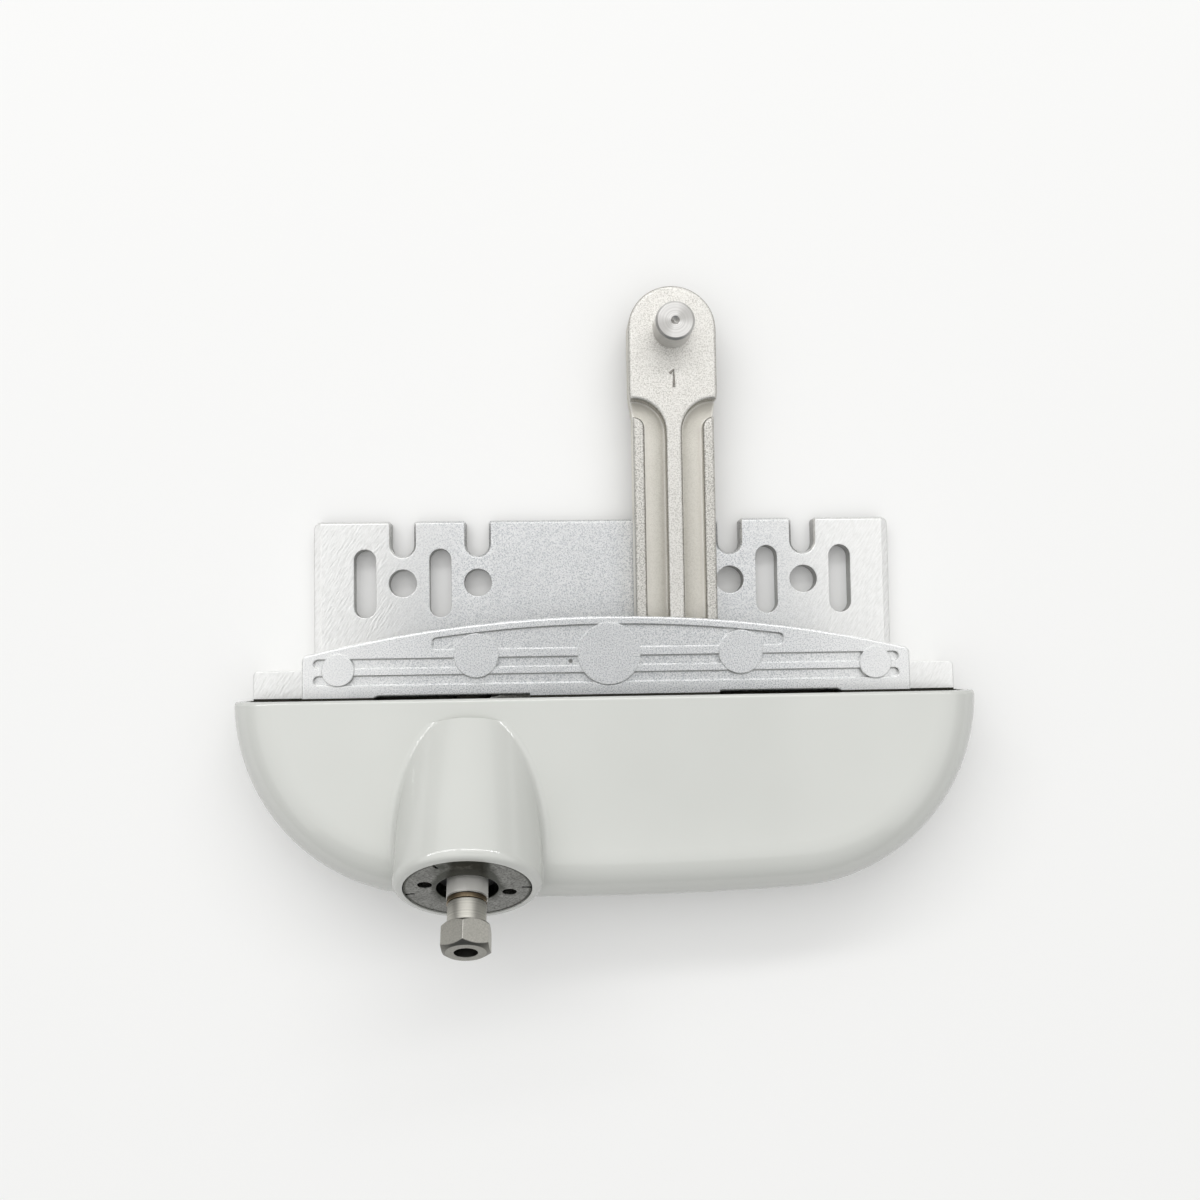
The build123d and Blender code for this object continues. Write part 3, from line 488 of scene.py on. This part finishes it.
# Painted shade in the groove corners that face the front
hollow = use_group(tree, edge_tree, [("Width", hollow_width)])["Normal"]
corner = spread(tree, split(tree, hollow)["Y"], -0.08, -0.4)
colour = shade_zinc(tree, place, colour, corner, *groove_shade)
finish_zinc(tree, shader, place, colour, grain, grain["Height"], edge["Normal"])
print("material:", bridge_zinc.name)

# %% [markdown]
# ## Tumbled cast steel
#
# The arm is a steel casting, tumbled until it shines softly. Its colour is warmer than the zinc. The two
# flutes keep a beige cast skin that the tumbling stones can't reach, while the ribs are darker and speckled.
# The depth below the arm's top tells them apart. The flutes are painted lighter towards the outer ribs, as
# light on their sides, and darker at the ends by the head, as painted shade. A strip along each corner is
# brightened as a painted highlight, and the walls just below the top are darkened as painted shade, which
# draws an outline round the arm.

# %% Arm zones
arm_steel, tree, shader, place = start_material("arm_steel", Metallic=1.0)
links = [("Place", place), ("Grain size", 0.32 * millimetre), ("Mottle size", 4.0 * millimetre)]
grain = use_group(tree, grain_tree, links)
across, outward, up = split(tree, place)
from_middle = calculate(tree, "ABSOLUTE", calculate(tree, "SUBTRACT", across, stud_middle.x))
depth = calculate(tree, "SUBTRACT", arm_top, up)
on_ribs = spread(tree, depth, 0.12 * millimetre, 0.28 * millimetre)
in_flutes = spread(tree, depth, 1.6 * millimetre, 2.6 * millimetre)
near_top = spread(tree, depth, 1.2 * millimetre, 0.8 * millimetre, 0.0, 0.65)
# Painted light and shade in the flutes: lighter towards the outer ribs, darker at the ends by the head
flute_painted_light = spread(tree, from_middle, 1.6 * millimetre, 6.4 * millimetre)
flute_end_shade = spread(tree, outward, 31.0 * millimetre, 40.0 * millimetre, 0.0, 0.75)
print("arm zones: head, ribs, flutes")

# %% Arm colours
head_light = (0.80, 0.785, 0.745, 1.0)
head_dark = (0.54, 0.525, 0.485, 1.0)
rib_light = (0.76, 0.745, 0.70, 1.0)
rib_dark = (0.40, 0.385, 0.35, 1.0)
flute_light = (0.76, 0.735, 0.67, 1.0)
flute_dark = (0.47, 0.45, 0.395, 1.0)
head_mottle = 0.35
flute_speckle = 0.18
head = mix_colour(tree, grain["Speckle"], head_dark, head_light)
head = mix_colour(tree, calculate(tree, "MULTIPLY", grain["Mottle"], head_mottle), head, head_light)
ribs = mix_colour(tree, grain["Speckle"], rib_dark, rib_light)
flute_share = calculate(tree, "MULTIPLY_ADD", grain["Speckle"], flute_speckle, flute_painted_light)
flutes = mix_colour(tree, flute_share, flute_dark, flute_light)
flutes = mix_colour(tree, flute_end_shade, flutes, flute_dark)
colour = mix_colour(tree, on_ribs, head, ribs)
colour = mix_colour(tree, in_flutes, colour, flutes)
print("arm colours mixed")

# %% Arm steel
arm_painted_highlight = (0.95, 0.94, 0.91, 1.0)
highlight_width = 1.1 * millimetre
highlight_share = 0.7
arm_corner = 0.3 * millimetre
arm_rough = 0.45
arm_gloss = 0.3
# Painted highlight: a bright strip along each corner
arm_edge_highlight = use_group(tree, edge_tree, [("Width", highlight_width)])["Edge"]
colour = mix_colour(tree, calculate(tree, "MULTIPLY", arm_edge_highlight, highlight_share), colour, arm_painted_highlight)
# Painted shade: dark walls just below the top, which outline the arm
arm_outline_shade = calculate(tree, "MULTIPLY", spread(tree, level_share(tree), 0.8, 0.5), near_top)
tree.links.new(mix_colour(tree, arm_outline_shade, colour, rib_dark), shader.inputs["Base Color"])
tree.links.new(mix_value(tree, grain["Speckle"], arm_rough, arm_gloss), shader.inputs["Roughness"])
corners = use_group(tree, edge_tree, [("Width", arm_corner)])["Normal"]
bump_surface(tree, shader, grain["Height"], strength=0.8, depth=0.12 * millimetre, corners=corners)
print("material:", arm_steel.name)

# %% [markdown]
# ## Turned steel
#
# The stud, the spindle, the pin, the screws and the bushings are all turned on a lathe. So they share one
# recipe: a light and a dark colour for the rings, a roughness, and the axis that they were turned on. A
# mapping node measures each place from that axis.


# %% Turning recipe
turned_corner = 0.2 * millimetre
turned_mottle = 0.3
groove_rougher = 0.08
crest_smoother = 0.05


def lathe_place(tree, place, foot, tilt):
    """A place measured from a lathe axis that stands on foot."""
    links = [("Vector", place), ("Location", foot), ("Rotation", tilt)]
    return add(tree, "ShaderNodeMapping", links, vector_type="TEXTURE").outputs["Vector"]


def turn_marks(tree, place, lathe, ring_width):
    """The rings of the lathe, the rounded edges and the grain of turned metal."""
    rings = use_group(tree, turning_tree, [("Place", lathe), ("Ring width", ring_width)])["Rings"]
    edge = use_group(tree, edge_tree, [("Width", turned_corner)])
    links = [("Place", place), ("Grain size", 0.6 * millimetre), ("Mottle size", 3.0 * millimetre)]
    return rings, edge, use_group(tree, grain_tree, links)


def turn_colour(tree, rings, grain, light, dark):
    """Light and dark rings with a slow mottle."""
    marked = mix_colour(tree, spread(tree, rings, 0.3, 0.7), dark, light)
    return mix_colour(tree, calculate(tree, "MULTIPLY", grain["Mottle"], turned_mottle), marked, dark)


def turn_roughness(tree, rings, roughness):
    """Smoother on the crest of a ring than beside it."""
    return spread(tree, rings, 0.2, 0.8, roughness + groove_rougher, roughness - crest_smoother)


print("turning recipe: place, marks, colour, roughness")


# %% Turned surface
ring_width = 0.3 * millimetre


def finish_turned(tree, shader, colour, rough, rings, corners):
    """Feed the shader of a turned metal."""
    tree.links.new(colour, shader.inputs["Base Color"])
    tree.links.new(rough, shader.inputs["Roughness"])
    bump_surface(tree, shader, rings, strength=0.25, depth=0.04 * millimetre, corners=corners)


def make_turned(name, light, dark, roughness, foot, tilt, paired=False):
    """Plain turned metal. A pair stands left and right of the middle, and foot is the right one's."""
    metal, tree, shader, place = start_material(name, Metallic=1.0)
    if paired:
        across, outward, up = split(tree, place)
        links = [(0, calculate(tree, "ABSOLUTE", across)), (1, outward), (2, up)]
        place = add(tree, "ShaderNodeCombineXYZ", links).outputs[0]
    rings, edge, grain = turn_marks(tree, place, lathe_place(tree, place, foot, tilt), ring_width)
    colour = turn_colour(tree, rings, grain, light, dark)
    finish_turned(tree, shader, colour, turn_roughness(tree, rings, roughness), rings, edge["Normal"])
    return metal


print("ring width in mm:", ring_width / millimetre)

# %% [markdown]
# ## Track stud
#
# The stud is bright steel. A freshly turned face flashes in two opposite fans, because its rings mirror the
# light only where they lie across it. A wave of the angle round the axis paints the dark sectors between
# the fans, which is steadier than asking the reflections for them.

# %% Stud steel
bright_light = (0.84, 0.83, 0.81, 1.0)
bright_dark = (0.66, 0.65, 0.63, 1.0)
bright_rough = 0.34
upright = (0.0, 0.0, 0.0)
stud_ring_width = 0.35 * millimetre
fan_dark = (0.40, 0.39, 0.37, 1.0)
fan_count = 2.0
fan_turn = 0.6
fan_share = 0.6
stud_steel, tree, shader, place = start_material("stud_steel", Metallic=1.0)
lathe = lathe_place(tree, place, stud_middle, upright)
rings, edge, grain = turn_marks(tree, place, lathe, stud_ring_width)
colour = turn_colour(tree, rings, grain, bright_light, bright_dark)
lathe_parts = split(tree, lathe)
angle = calculate(tree, "ARCTAN2", lathe_parts["Y"], lathe_parts["X"])
fans = calculate(tree, "SINE", calculate(tree, "MULTIPLY_ADD", angle, fan_count, fan_turn))
colour = mix_colour(tree, spread(tree, fans, -0.2, 0.9, 0.0, fan_share), colour, fan_dark)
finish_turned(tree, shader, colour, turn_roughness(tree, rings, bright_rough), rings, edge["Normal"])
print("material:", stud_steel.name)

# %% [markdown]
# ## Spindle
#
# The spindle is satin steel, and its finish changes along its length. From the inside out: the worm lies in
# gear grease, the collar is painted bright as a highlight and is a little matt, the ring groove holds brown
# oil, and the milled hexagon has no lathe rings but painted highlights on its edges. Painted shade darkens
# its chamfer and the screw hole, and its end is darkened too. The script measures each place along the
# spindle and from its axis, so a few limits in millimetres give every zone.

# %% Spindle marks
hexagon_start = 8.0 * millimetre
hexagon_end = 13.4 * millimetre
spindle_light = (0.58, 0.565, 0.515, 1.0)
spindle_dark = (0.44, 0.43, 0.39, 1.0)
spindle_steel, tree, shader, place = start_material("spindle_steel", Metallic=1.0)
lathe = lathe_place(tree, place, spindle_foot, spindle_tilt)
sideways, upward, along = split(tree, lathe)
radius = distance_from_axis(tree, sideways, upward)
rings, edge, grain = turn_marks(tree, place, lathe, ring_width)
on_shaft = spread(tree, along, hexagon_start, hexagon_start - 0.2 * millimetre)
marks = mix_value(tree, on_shaft, grain["Height"], rings)
colour = turn_colour(tree, marks, grain, spindle_light, spindle_dark)
print("hexagon in mm:", round((hexagon_end - hexagon_start) / millimetre, 2), "long")

# %% Spindle shade and oil
chamfer_slope = 0.615
chamfer_start = 15.85 * millimetre
hole_reach = 2.5 * millimetre
groove_start = 2.1 * millimetre
groove_end = 3.5 * millimetre
groove_fade = 0.2 * millimetre
groove_oil = 0.6
cone = calculate(tree, "MULTIPLY_ADD", radius, chamfer_slope, along)
on_chamfer = spread(tree, cone, chamfer_start, chamfer_start + 0.1 * millimetre, 0.0, 0.75)
on_end = spread(tree, along, hexagon_end - 0.2 * millimetre, hexagon_end - 0.05 * millimetre, 0.0, 0.45)
off_end = spread(tree, along, hexagon_end - 0.05 * millimetre, hexagon_end - 0.1 * millimetre)
on_axis = spread(tree, radius, hole_reach + 0.1 * millimetre, hole_reach, 0.0, 0.9)
in_hole = calculate(tree, "MULTIPLY", on_axis, off_end)
# Painted shade on the chamfer and in the screw hole; the end face is darkened too
painted_end_shade = calculate(tree, "MAXIMUM", in_hole, calculate(tree, "MAXIMUM", on_chamfer, on_end))
past_start = spread(tree, along, groove_start, groove_start + groove_fade)
before_end = spread(tree, along, groove_end, groove_end - groove_fade)
in_groove = calculate(tree, "MULTIPLY", past_start, before_end)
amount = calculate(tree, "MULTIPLY", in_groove, groove_oil)
links = [("Place", place), ("Patch size", 1.6 * millimetre), ("Amount", amount)]
oily = use_group(tree, oil_reflection_tree, links)["Oil and reflection"]
print("ring groove in mm:", round((groove_end - groove_start) / millimetre, 2), "wide")

# %% Spindle steel
spindle_highlight = (0.95, 0.94, 0.90, 1.0)
end_shade = (0.09, 0.088, 0.078, 1.0)
oil_brown = (0.10, 0.075, 0.04, 1.0)
edge_highlight_share = 0.6
collar_rougher = 0.25
spindle_rough = 0.4
worm_end = -6.0 * millimetre
on_collar = spread(tree, along, groove_start, groove_start - groove_fade)
on_worm = calculate(tree, "LESS_THAN", along, worm_end)
# Painted highlights on the collar and on the edges of the hexagon
colour = mix_colour(tree, on_collar, colour, spindle_highlight)
colour = mix_colour(tree, calculate(tree, "MULTIPLY", edge["Edge"], edge_highlight_share), colour, spindle_highlight)
# Painted shade at the end of the spindle
colour = mix_colour(tree, painted_end_shade, colour, end_shade)
colour = mix_colour(tree, oily, colour, oil_brown)
colour = mix_colour(tree, on_worm, colour, grease_and_shade)
rough = turn_roughness(tree, marks, spindle_rough)
rough = calculate(tree, "MULTIPLY_ADD", on_collar, collar_rougher, rough)
finish_turned(tree, shader, colour, rough, marks, edge["Normal"])
print("material:", spindle_steel.name)

# %% [markdown]
# ## Retainer steel
#
# The retainer is a plain steel disc with a matt phosphate grey. Oil from the bore and a painted reflection
# of the dark spindle darken the middle, so the darkening grows towards the axis and above the bore, and the
# gap round the rim is darkened as painted shade.

# %% Retainer oil and painted shade
bore_near = 6.2 * millimetre
bore_far = 9.4 * millimetre
retainer_steel, tree, shader, place = start_material("retainer_steel", Metallic=1.0)
lathe_parts = split(tree, lathe_place(tree, place, spindle_foot, spindle_tilt))
sideways, upward = lathe_parts["X"], lathe_parts["Y"]
radius = distance_from_axis(tree, sideways, upward)
near_bore = spread(tree, radius, bore_far, bore_near, 0.08, 0.6)
# Painted reflection of the dark spindle above the bore
beside = spread(tree, calculate(tree, "ABSOLUTE", sideways), 7.5 * millimetre, 4.5 * millimetre)
reflection_above_bore = calculate(tree, "MULTIPLY", beside, spread(tree, upward, 0.0, 4.0 * millimetre, 0.0, 0.5))
amount = calculate(tree, "ADD", near_bore, reflection_above_bore)
links = [("Place", place), ("Patch size", 3.0 * millimetre), ("Amount", amount)]
oil_and_reflection = use_group(tree, oil_reflection_tree, links)["Oil and reflection"]
# Painted shade in the gap round the rim
rim_gap_shade = spread(tree, radius, 12.45 * millimetre, 12.75 * millimetre, 0.0, 0.92)
darkened = calculate(tree, "MAXIMUM", oil_and_reflection, rim_gap_shade)
print("stain from the axis in mm:", bore_near / millimetre, "to", bore_far / millimetre)

# %% Retainer steel
retainer_light = (0.24, 0.24, 0.225, 1.0)
retainer_dark = (0.09, 0.09, 0.082, 1.0)
retainer_rubbed = (0.55, 0.55, 0.53, 1.0)
retainer_oil_and_shade = (0.03, 0.032, 0.022, 1.0)
retainer_corner = 0.3 * millimetre
retainer_mottle = 0.5
retainer_wear = 0.25
retainer_rough = 0.36
retainer_gloss = 0.28
links = [("Place", place), ("Grain size", 0.45 * millimetre), ("Mottle size", 3.0 * millimetre)]
grain = use_group(tree, grain_tree, links)
edge = use_group(tree, edge_tree, [("Width", retainer_corner)])
colour = mix_colour(tree, grain["Speckle"], retainer_dark, retainer_light)
mottle = calculate(tree, "MULTIPLY", grain["Mottle"], retainer_mottle)
colour = mix_colour(tree, mottle, colour, retainer_dark)
colour = mix_colour(tree, calculate(tree, "MULTIPLY", edge["Edge"], retainer_wear), colour, retainer_rubbed)
tree.links.new(mix_colour(tree, darkened, colour, retainer_oil_and_shade), shader.inputs["Base Color"])
tree.links.new(mix_value(tree, grain["Speckle"], retainer_rough, retainer_gloss), shader.inputs["Roughness"])
bump_surface(tree, shader, grain["Height"], strength=0.2, depth=0.1 * millimetre, corners=edge["Normal"])
print("material:", retainer_steel.name)

# %% [markdown]
# ## Inner and small pieces
#
# The bearings, washers, seal, ring, pin and screws hardly show, but they do when the arm swings or the part
# is turned over. The bronze, the ring, the pin and the screws are turned metal in other colours. The screws
# stand in pairs, so their places are folded to the right side and one axis serves both. The washers are
# plain acetal and the seal is rubber, each with a fine surface of its own.

# %% Bushings, ring and pin
bronze_light = (0.62, 0.45, 0.22, 1.0)
bronze_dark = (0.42, 0.29, 0.13, 1.0)
bronze_rough = 0.35
ring_light = (0.30, 0.24, 0.16, 1.0)
ring_dark = (0.16, 0.12, 0.075, 1.0)
bushing_bronze = make_turned(
    "bushing_bronze", bronze_light, bronze_dark, bronze_rough, spindle_foot, spindle_tilt
)
ring_steel = make_turned("ring_steel", ring_light, ring_dark, bright_rough, spindle_foot, spindle_tilt)
pin_steel = make_turned(
    "pin_steel", bright_light, bright_dark, bright_rough, middle_of("pivot_pin"), upright
)
print("materials:", bushing_bronze.name, ring_steel.name, pin_steel.name)

# %% Screws
screw_light = (0.68, 0.68, 0.66, 1.0)
screw_dark = (0.5, 0.5, 0.49, 1.0)
screw_head_radius = 3.5 * millimetre


def make_screws(pair):
    """Plated steel for a pair of screws that stand at equal distances left and right."""
    low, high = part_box(pair)
    right_foot = Vector((high.x - screw_head_radius, (low.y + high.y) / 2, low.z))
    name = pair + "_steel"
    return make_turned(name, screw_light, screw_dark, bright_rough, right_foot, upright, paired=True)


bridge_screw_steel = make_screws("bridge_screws")
cover_screw_steel = make_screws("cover_screws")
print("materials:", bridge_screw_steel.name, cover_screw_steel.name)


# %% Washers and seal
acetal_light = (0.78, 0.77, 0.72, 1.0)
acetal_dark = (0.70, 0.69, 0.64, 1.0)
acetal_rough = 0.4
rubber_light = (0.035, 0.035, 0.035, 1.0)
rubber_dark = (0.02, 0.02, 0.02, 1.0)
rubber_rough = 0.6
matt_change = 0.08


def make_moulded(name, light, dark, roughness, grain_size):
    """A moulded plastic or rubber with a fine matt skin."""
    moulded, tree, shader, place = start_material(name)
    links = [("Place", place), ("Grain size", grain_size), ("Mottle size", 4.0 * millimetre)]
    grain = use_group(tree, grain_tree, links)
    tree.links.new(mix_colour(tree, grain["Mottle"], dark, light), shader.inputs["Base Color"])
    rough = mix_value(tree, grain["Speckle"], roughness + matt_change, roughness - matt_change)
    tree.links.new(rough, shader.inputs["Roughness"])
    bump_surface(tree, shader, grain["Height"], strength=0.2, depth=0.05 * millimetre)
    return moulded


washer_acetal = make_moulded("washer_acetal", acetal_light, acetal_dark, acetal_rough, 0.5 * millimetre)
seal_rubber = make_moulded("seal_rubber", rubber_light, rubber_dark, rubber_rough, 0.4 * millimetre)
print("materials:", washer_acetal.name, seal_rubber.name)

# %% [markdown]
# ## Put the finishes on
#
# Each piece has one finish, so a short table from piece to material is clearer than a material by material
# assignment. Every piece is in it, and a piece that is missing would stop the script.

# %% Assign
finishes = {
    "base_casting": base_zinc,
    "upper_bridge": bridge_zinc,
    "front_cover": enamel,
    "drive_arm": arm_steel,
    "track_stud": stud_steel,
    "spindle_worm": spindle_steel,
    "snap_ring": ring_steel,
    "spindle_retainer": retainer_steel,
    "spindle_seal": seal_rubber,
    "spindle_bushing": bushing_bronze,
    "worm_end_bushing": bushing_bronze,
    "thrust_washer": bushing_bronze,
    "pivot_bushing": bushing_bronze,
    "pivot_pin": pin_steel,
    "pivot_washer_lower": washer_acetal,
    "pivot_washer_upper": washer_acetal,
    "bridge_screws": bridge_screw_steel,
    "cover_screws": cover_screw_steel,
}
for name, node in nodes.items():
    node.data.materials.clear()
    node.data.materials.append(finishes[name])
print("finished pieces:", len(finishes))

# %% [markdown]
# ## The cast numeral
#
# The head of the arm carries a small raised figure from its mould: a plain 1 that tells the moulds apart. It
# is a bead of metal, so a curve with a round bevel, half sunk in the face, is the simplest way to make it.
# The bead is coloured darker than the head as painted shade, so that its lines stand out.

# %% Numeral shape
bead_radius = 0.34 * millimetre
numeral_height = 3.9 * millimetre
tick_reach = 0.9 * millimetre
tick_level = 0.28
numeral_middle = Vector((16.0 * millimetre, 45.2 * millimetre, arm_top))
numeral_line = bpy.data.curves.new("mould_numeral", "CURVE")
numeral_line.dimensions = "3D"
numeral_line.bevel_depth = bead_radius
numeral_line.bevel_resolution = 3
numeral_line.use_fill_caps = True
# Each point is a distance across and a share of the height
numeral_points = [(-tick_reach, tick_level), (0.0, 0.5), (0.0, -0.5)]
stroke = numeral_line.splines.new("POLY")
stroke.points.add(len(numeral_points) - 1)
for point, (across, level) in zip(stroke.points, numeral_points):
    spot = numeral_middle + Vector((across, level * numeral_height, 0.0))
    point.co = (*spot, 1.0)
numeral = bpy.data.objects.new("mould_numeral", numeral_line)
bpy.context.scene.collection.objects.link(numeral)
print("numeral height in mm:", numeral_height / millimetre)

# %% Numeral steel
numeral_shade = (0.24, 0.23, 0.21, 1.0)
numeral_steel, tree, shader, place = start_material("numeral_steel", Metallic=1.0, Roughness=0.45)
links = [("Place", place), ("Grain size", 0.4 * millimetre), ("Mottle size", 4.0 * millimetre)]
grain = use_group(tree, grain_tree, links)
# The bead is coloured dark as painted shade
tree.links.new(mix_colour(tree, grain["Speckle"], numeral_shade, rib_dark), shader.inputs["Base Color"])
numeral.data.materials.append(numeral_steel)
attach(numeral, "arm")
print("material:", numeral_steel.name)

# %% [markdown]
# ## Floor
#
# The operator lies on a white sweep. A diffuse floor is enough: it takes the soft shadow of the part and
# sends light back up on its sides. Its bounce is held back a little, as if dark paper lay just outside the
# picture, so that the lower band of the cover falls off.


# %% Floor
def add_sheet(name, corners, paint):
    """A flat sheet of the set."""
    mesh = bpy.data.meshes.new(name)
    mesh.from_pydata(corners, [], [(0, 1, 2, 3)])
    sheet = bpy.data.objects.new(name, mesh)
    sheet.data.materials.append(paint)
    bpy.context.scene.collection.objects.link(sheet)
    return sheet


def level_corners(middle, half_x, half_y):
    """The corners of a level rectangle."""
    turns = [(-1, -1), (1, -1), (1, 1), (-1, 1)]
    return [middle + Vector((x * half_x, y * half_y, 0.0)) for x, y in turns]


floor_half = 3.0
floor_gap = 0.1 * millimetre
paper_white = (0.92, 0.92, 0.91, 1.0)
paper_grey = (0.48, 0.48, 0.475, 1.0)
floor_paper, tree, shader, place = start_material("floor_paper", Roughness=0.9, Specular_IOR_Level=0.0)
bounced = add(tree, "ShaderNodeLightPath").outputs["Is Diffuse Ray"]
tree.links.new(mix_colour(tree, bounced, paper_white, paper_grey), shader.inputs["Base Color"])
floor_middle = Vector((0.0, 0.0, cad_low.z - floor_gap))
floor = add_sheet("floor", level_corners(floor_middle, floor_half, floor_half), floor_paper)
print("floor:", 2 * floor_half, "m wide")

# %% [markdown]
# ## Room
#
# The picture is bright and nearly without shadow: a white room with one long lamp above and behind the part.
# The world is that room. It is brighter overhead than at the horizon, brighter behind the part than in front,
# and a little brighter on the left, so that the sides of the cover fall off gently. The camera and the
# reflections see it plain white, as a backdrop of white paper would be.

# %% World
room_white = (1.0, 1.0, 1.0, 1.0)
world = bpy.data.worlds.new("white_room")
bpy.context.scene.world = world
world.use_nodes = True
tree = world.node_tree
background = tree.nodes["Background"]
background.inputs["Color"].default_value = room_white
sky_across, sky_outward, sky_up = split(tree, add(tree, "ShaderNodeTexCoord").outputs["Generated"])
overhead = spread(tree, sky_up, 0.1, 0.95, 0.0, 1.3)
window_side = spread(tree, sky_outward, -1.0, 1.0, 0.65, 1.35)
left_side = spread(tree, sky_across, -1.0, 1.0, 1.16, 0.82)
room_level = calculate(tree, "MULTIPLY", calculate(tree, "MULTIPLY", overhead, window_side), left_side)
paths = add(tree, "ShaderNodeLightPath").outputs
seen = calculate(tree, "MAXIMUM", paths["Is Camera Ray"], paths["Is Transmission Ray"])
seen = calculate(tree, "MAXIMUM", seen, paths["Is Glossy Ray"])
tree.links.new(mix_value(tree, seen, room_level, 1.0), background.inputs["Strength"])
print("world:", world.name)

# %% [markdown]
# ## Lamps
#
# A long strip lamp behind the part gives the soft light. A twin of it, longer and stronger, only lights the
# enamel and only by its mirror image. It draws the thin highlights on the rim and round the pod without
# washing out the colours, which a stronger room could not do.


# %% Strip lamps
lamp_place = Vector((-0.1, 0.72, 0.76))
lamp_target = Vector((0.0, -0.02, 0.0))
lamp_width = 0.12


def add_strip(name, length, energy):
    """A long lamp behind the part that points at it."""
    light = bpy.data.lights.new(name, "AREA")
    light.shape = "RECTANGLE"
    light.size = length
    light.size_y = lamp_width
    light.energy = energy
    lamp = bpy.data.objects.new(name, light)
    lamp.location = lamp_place
    lamp.rotation_euler = (lamp_target - lamp_place).to_track_quat("-Z", "Y").to_euler()
    bpy.context.scene.collection.objects.link(lamp)
    print("lamp:", name, energy, "W")
    return lamp


add_strip("strip_lamp", length=1.5, energy=3.0)
gloss_lamp = add_strip("gloss_lamp", length=3.0, energy=17.0)
gloss_lamp.visible_diffuse = False
gloss_lamp.light_linking.receiver_collection = bpy.data.collections.new("gloss_receivers")
gloss_lamp.light_linking.receiver_collection.objects.link(nodes["front_cover"])

# %% [markdown]
# ## Card and flags
#
# Bare metal looks like what it mirrors, and a white room alone would leave it without form. So a dark card
# hangs over the part, and flags stand around the set: low grey ones, and a tall dark one in front. They only
# show in reflections. The card gives the zinc its grey middle, and the flags draw the dark outlines of its
# edges.


# %% Dark card
def add_card(name, corners, paint):
    """A sheet that shows in reflections and nowhere else."""
    card = add_sheet(name, corners, paint)
    card.visible_camera = False
    card.visible_diffuse = False
    card.visible_transmission = False
    card.visible_shadow = False


card_dark = (0.15, 0.17, 0.19, 1.0)
card_middle = Vector((0.01, -0.03, 0.3))
card_half_x = 0.085
card_half_y = 0.065
card_black = start_material("card_black", Base_Color=card_dark, Roughness=0.9)[0]
add_card("camera_card", level_corners(card_middle, card_half_x, card_half_y), card_black)
print("card over the part at m:", round(card_middle.z, 2))

# %% Flags
flag_light = (0.4, 0.4, 0.4, 1.0)
flag_reach = 0.8
card_grey = start_material("card_grey", Base_Color=flag_light, Roughness=0.9)[0]
side_height = 0.4
front_height = 1.0
back_height = 0.3
flags = {
    "left": (side_height, card_grey),
    "front": (front_height, card_black),
    "right": (side_height, card_grey),
    "back": (back_height, card_grey),
}
posts = [(x * flag_reach, y * flag_reach) for x, y in [(-1, 1), (-1, -1), (1, -1), (1, 1)]]
for (side, (height, paint)), here, there in zip(flags.items(), posts, posts[1:] + posts[:1]):
    add_card(f"flag_{side}", [(*here, 0), (*there, 0), (*there, height), (*here, height)], paint)
print("flags:", list(flags))

# %% [markdown]
# ## Camera
#
# The camera looks almost straight down, from a little to the left of the middle. Its place was worked out by
# fitting the pattern of holes and slots in the flange, which is surer than turning the view by eye.

# %% Camera
camera_data = bpy.data.cameras.new("camera")
camera_data.sensor_width = 36.0
camera_data.lens = 37.8
camera_data.clip_start = 10.0 * millimetre
camera = bpy.data.objects.new("camera", camera_data)
camera.location = Vector((-15.08, -19.31, 292.76)) * millimetre
camera.rotation_euler = (radians(3.0), radians(-2.72), radians(-0.91))
bpy.context.scene.collection.objects.link(camera)
bpy.context.scene.camera = camera
bpy.context.scene.view_settings.view_transform = "Standard"
print("camera height in mm:", round(camera.location.z / millimetre, 1))
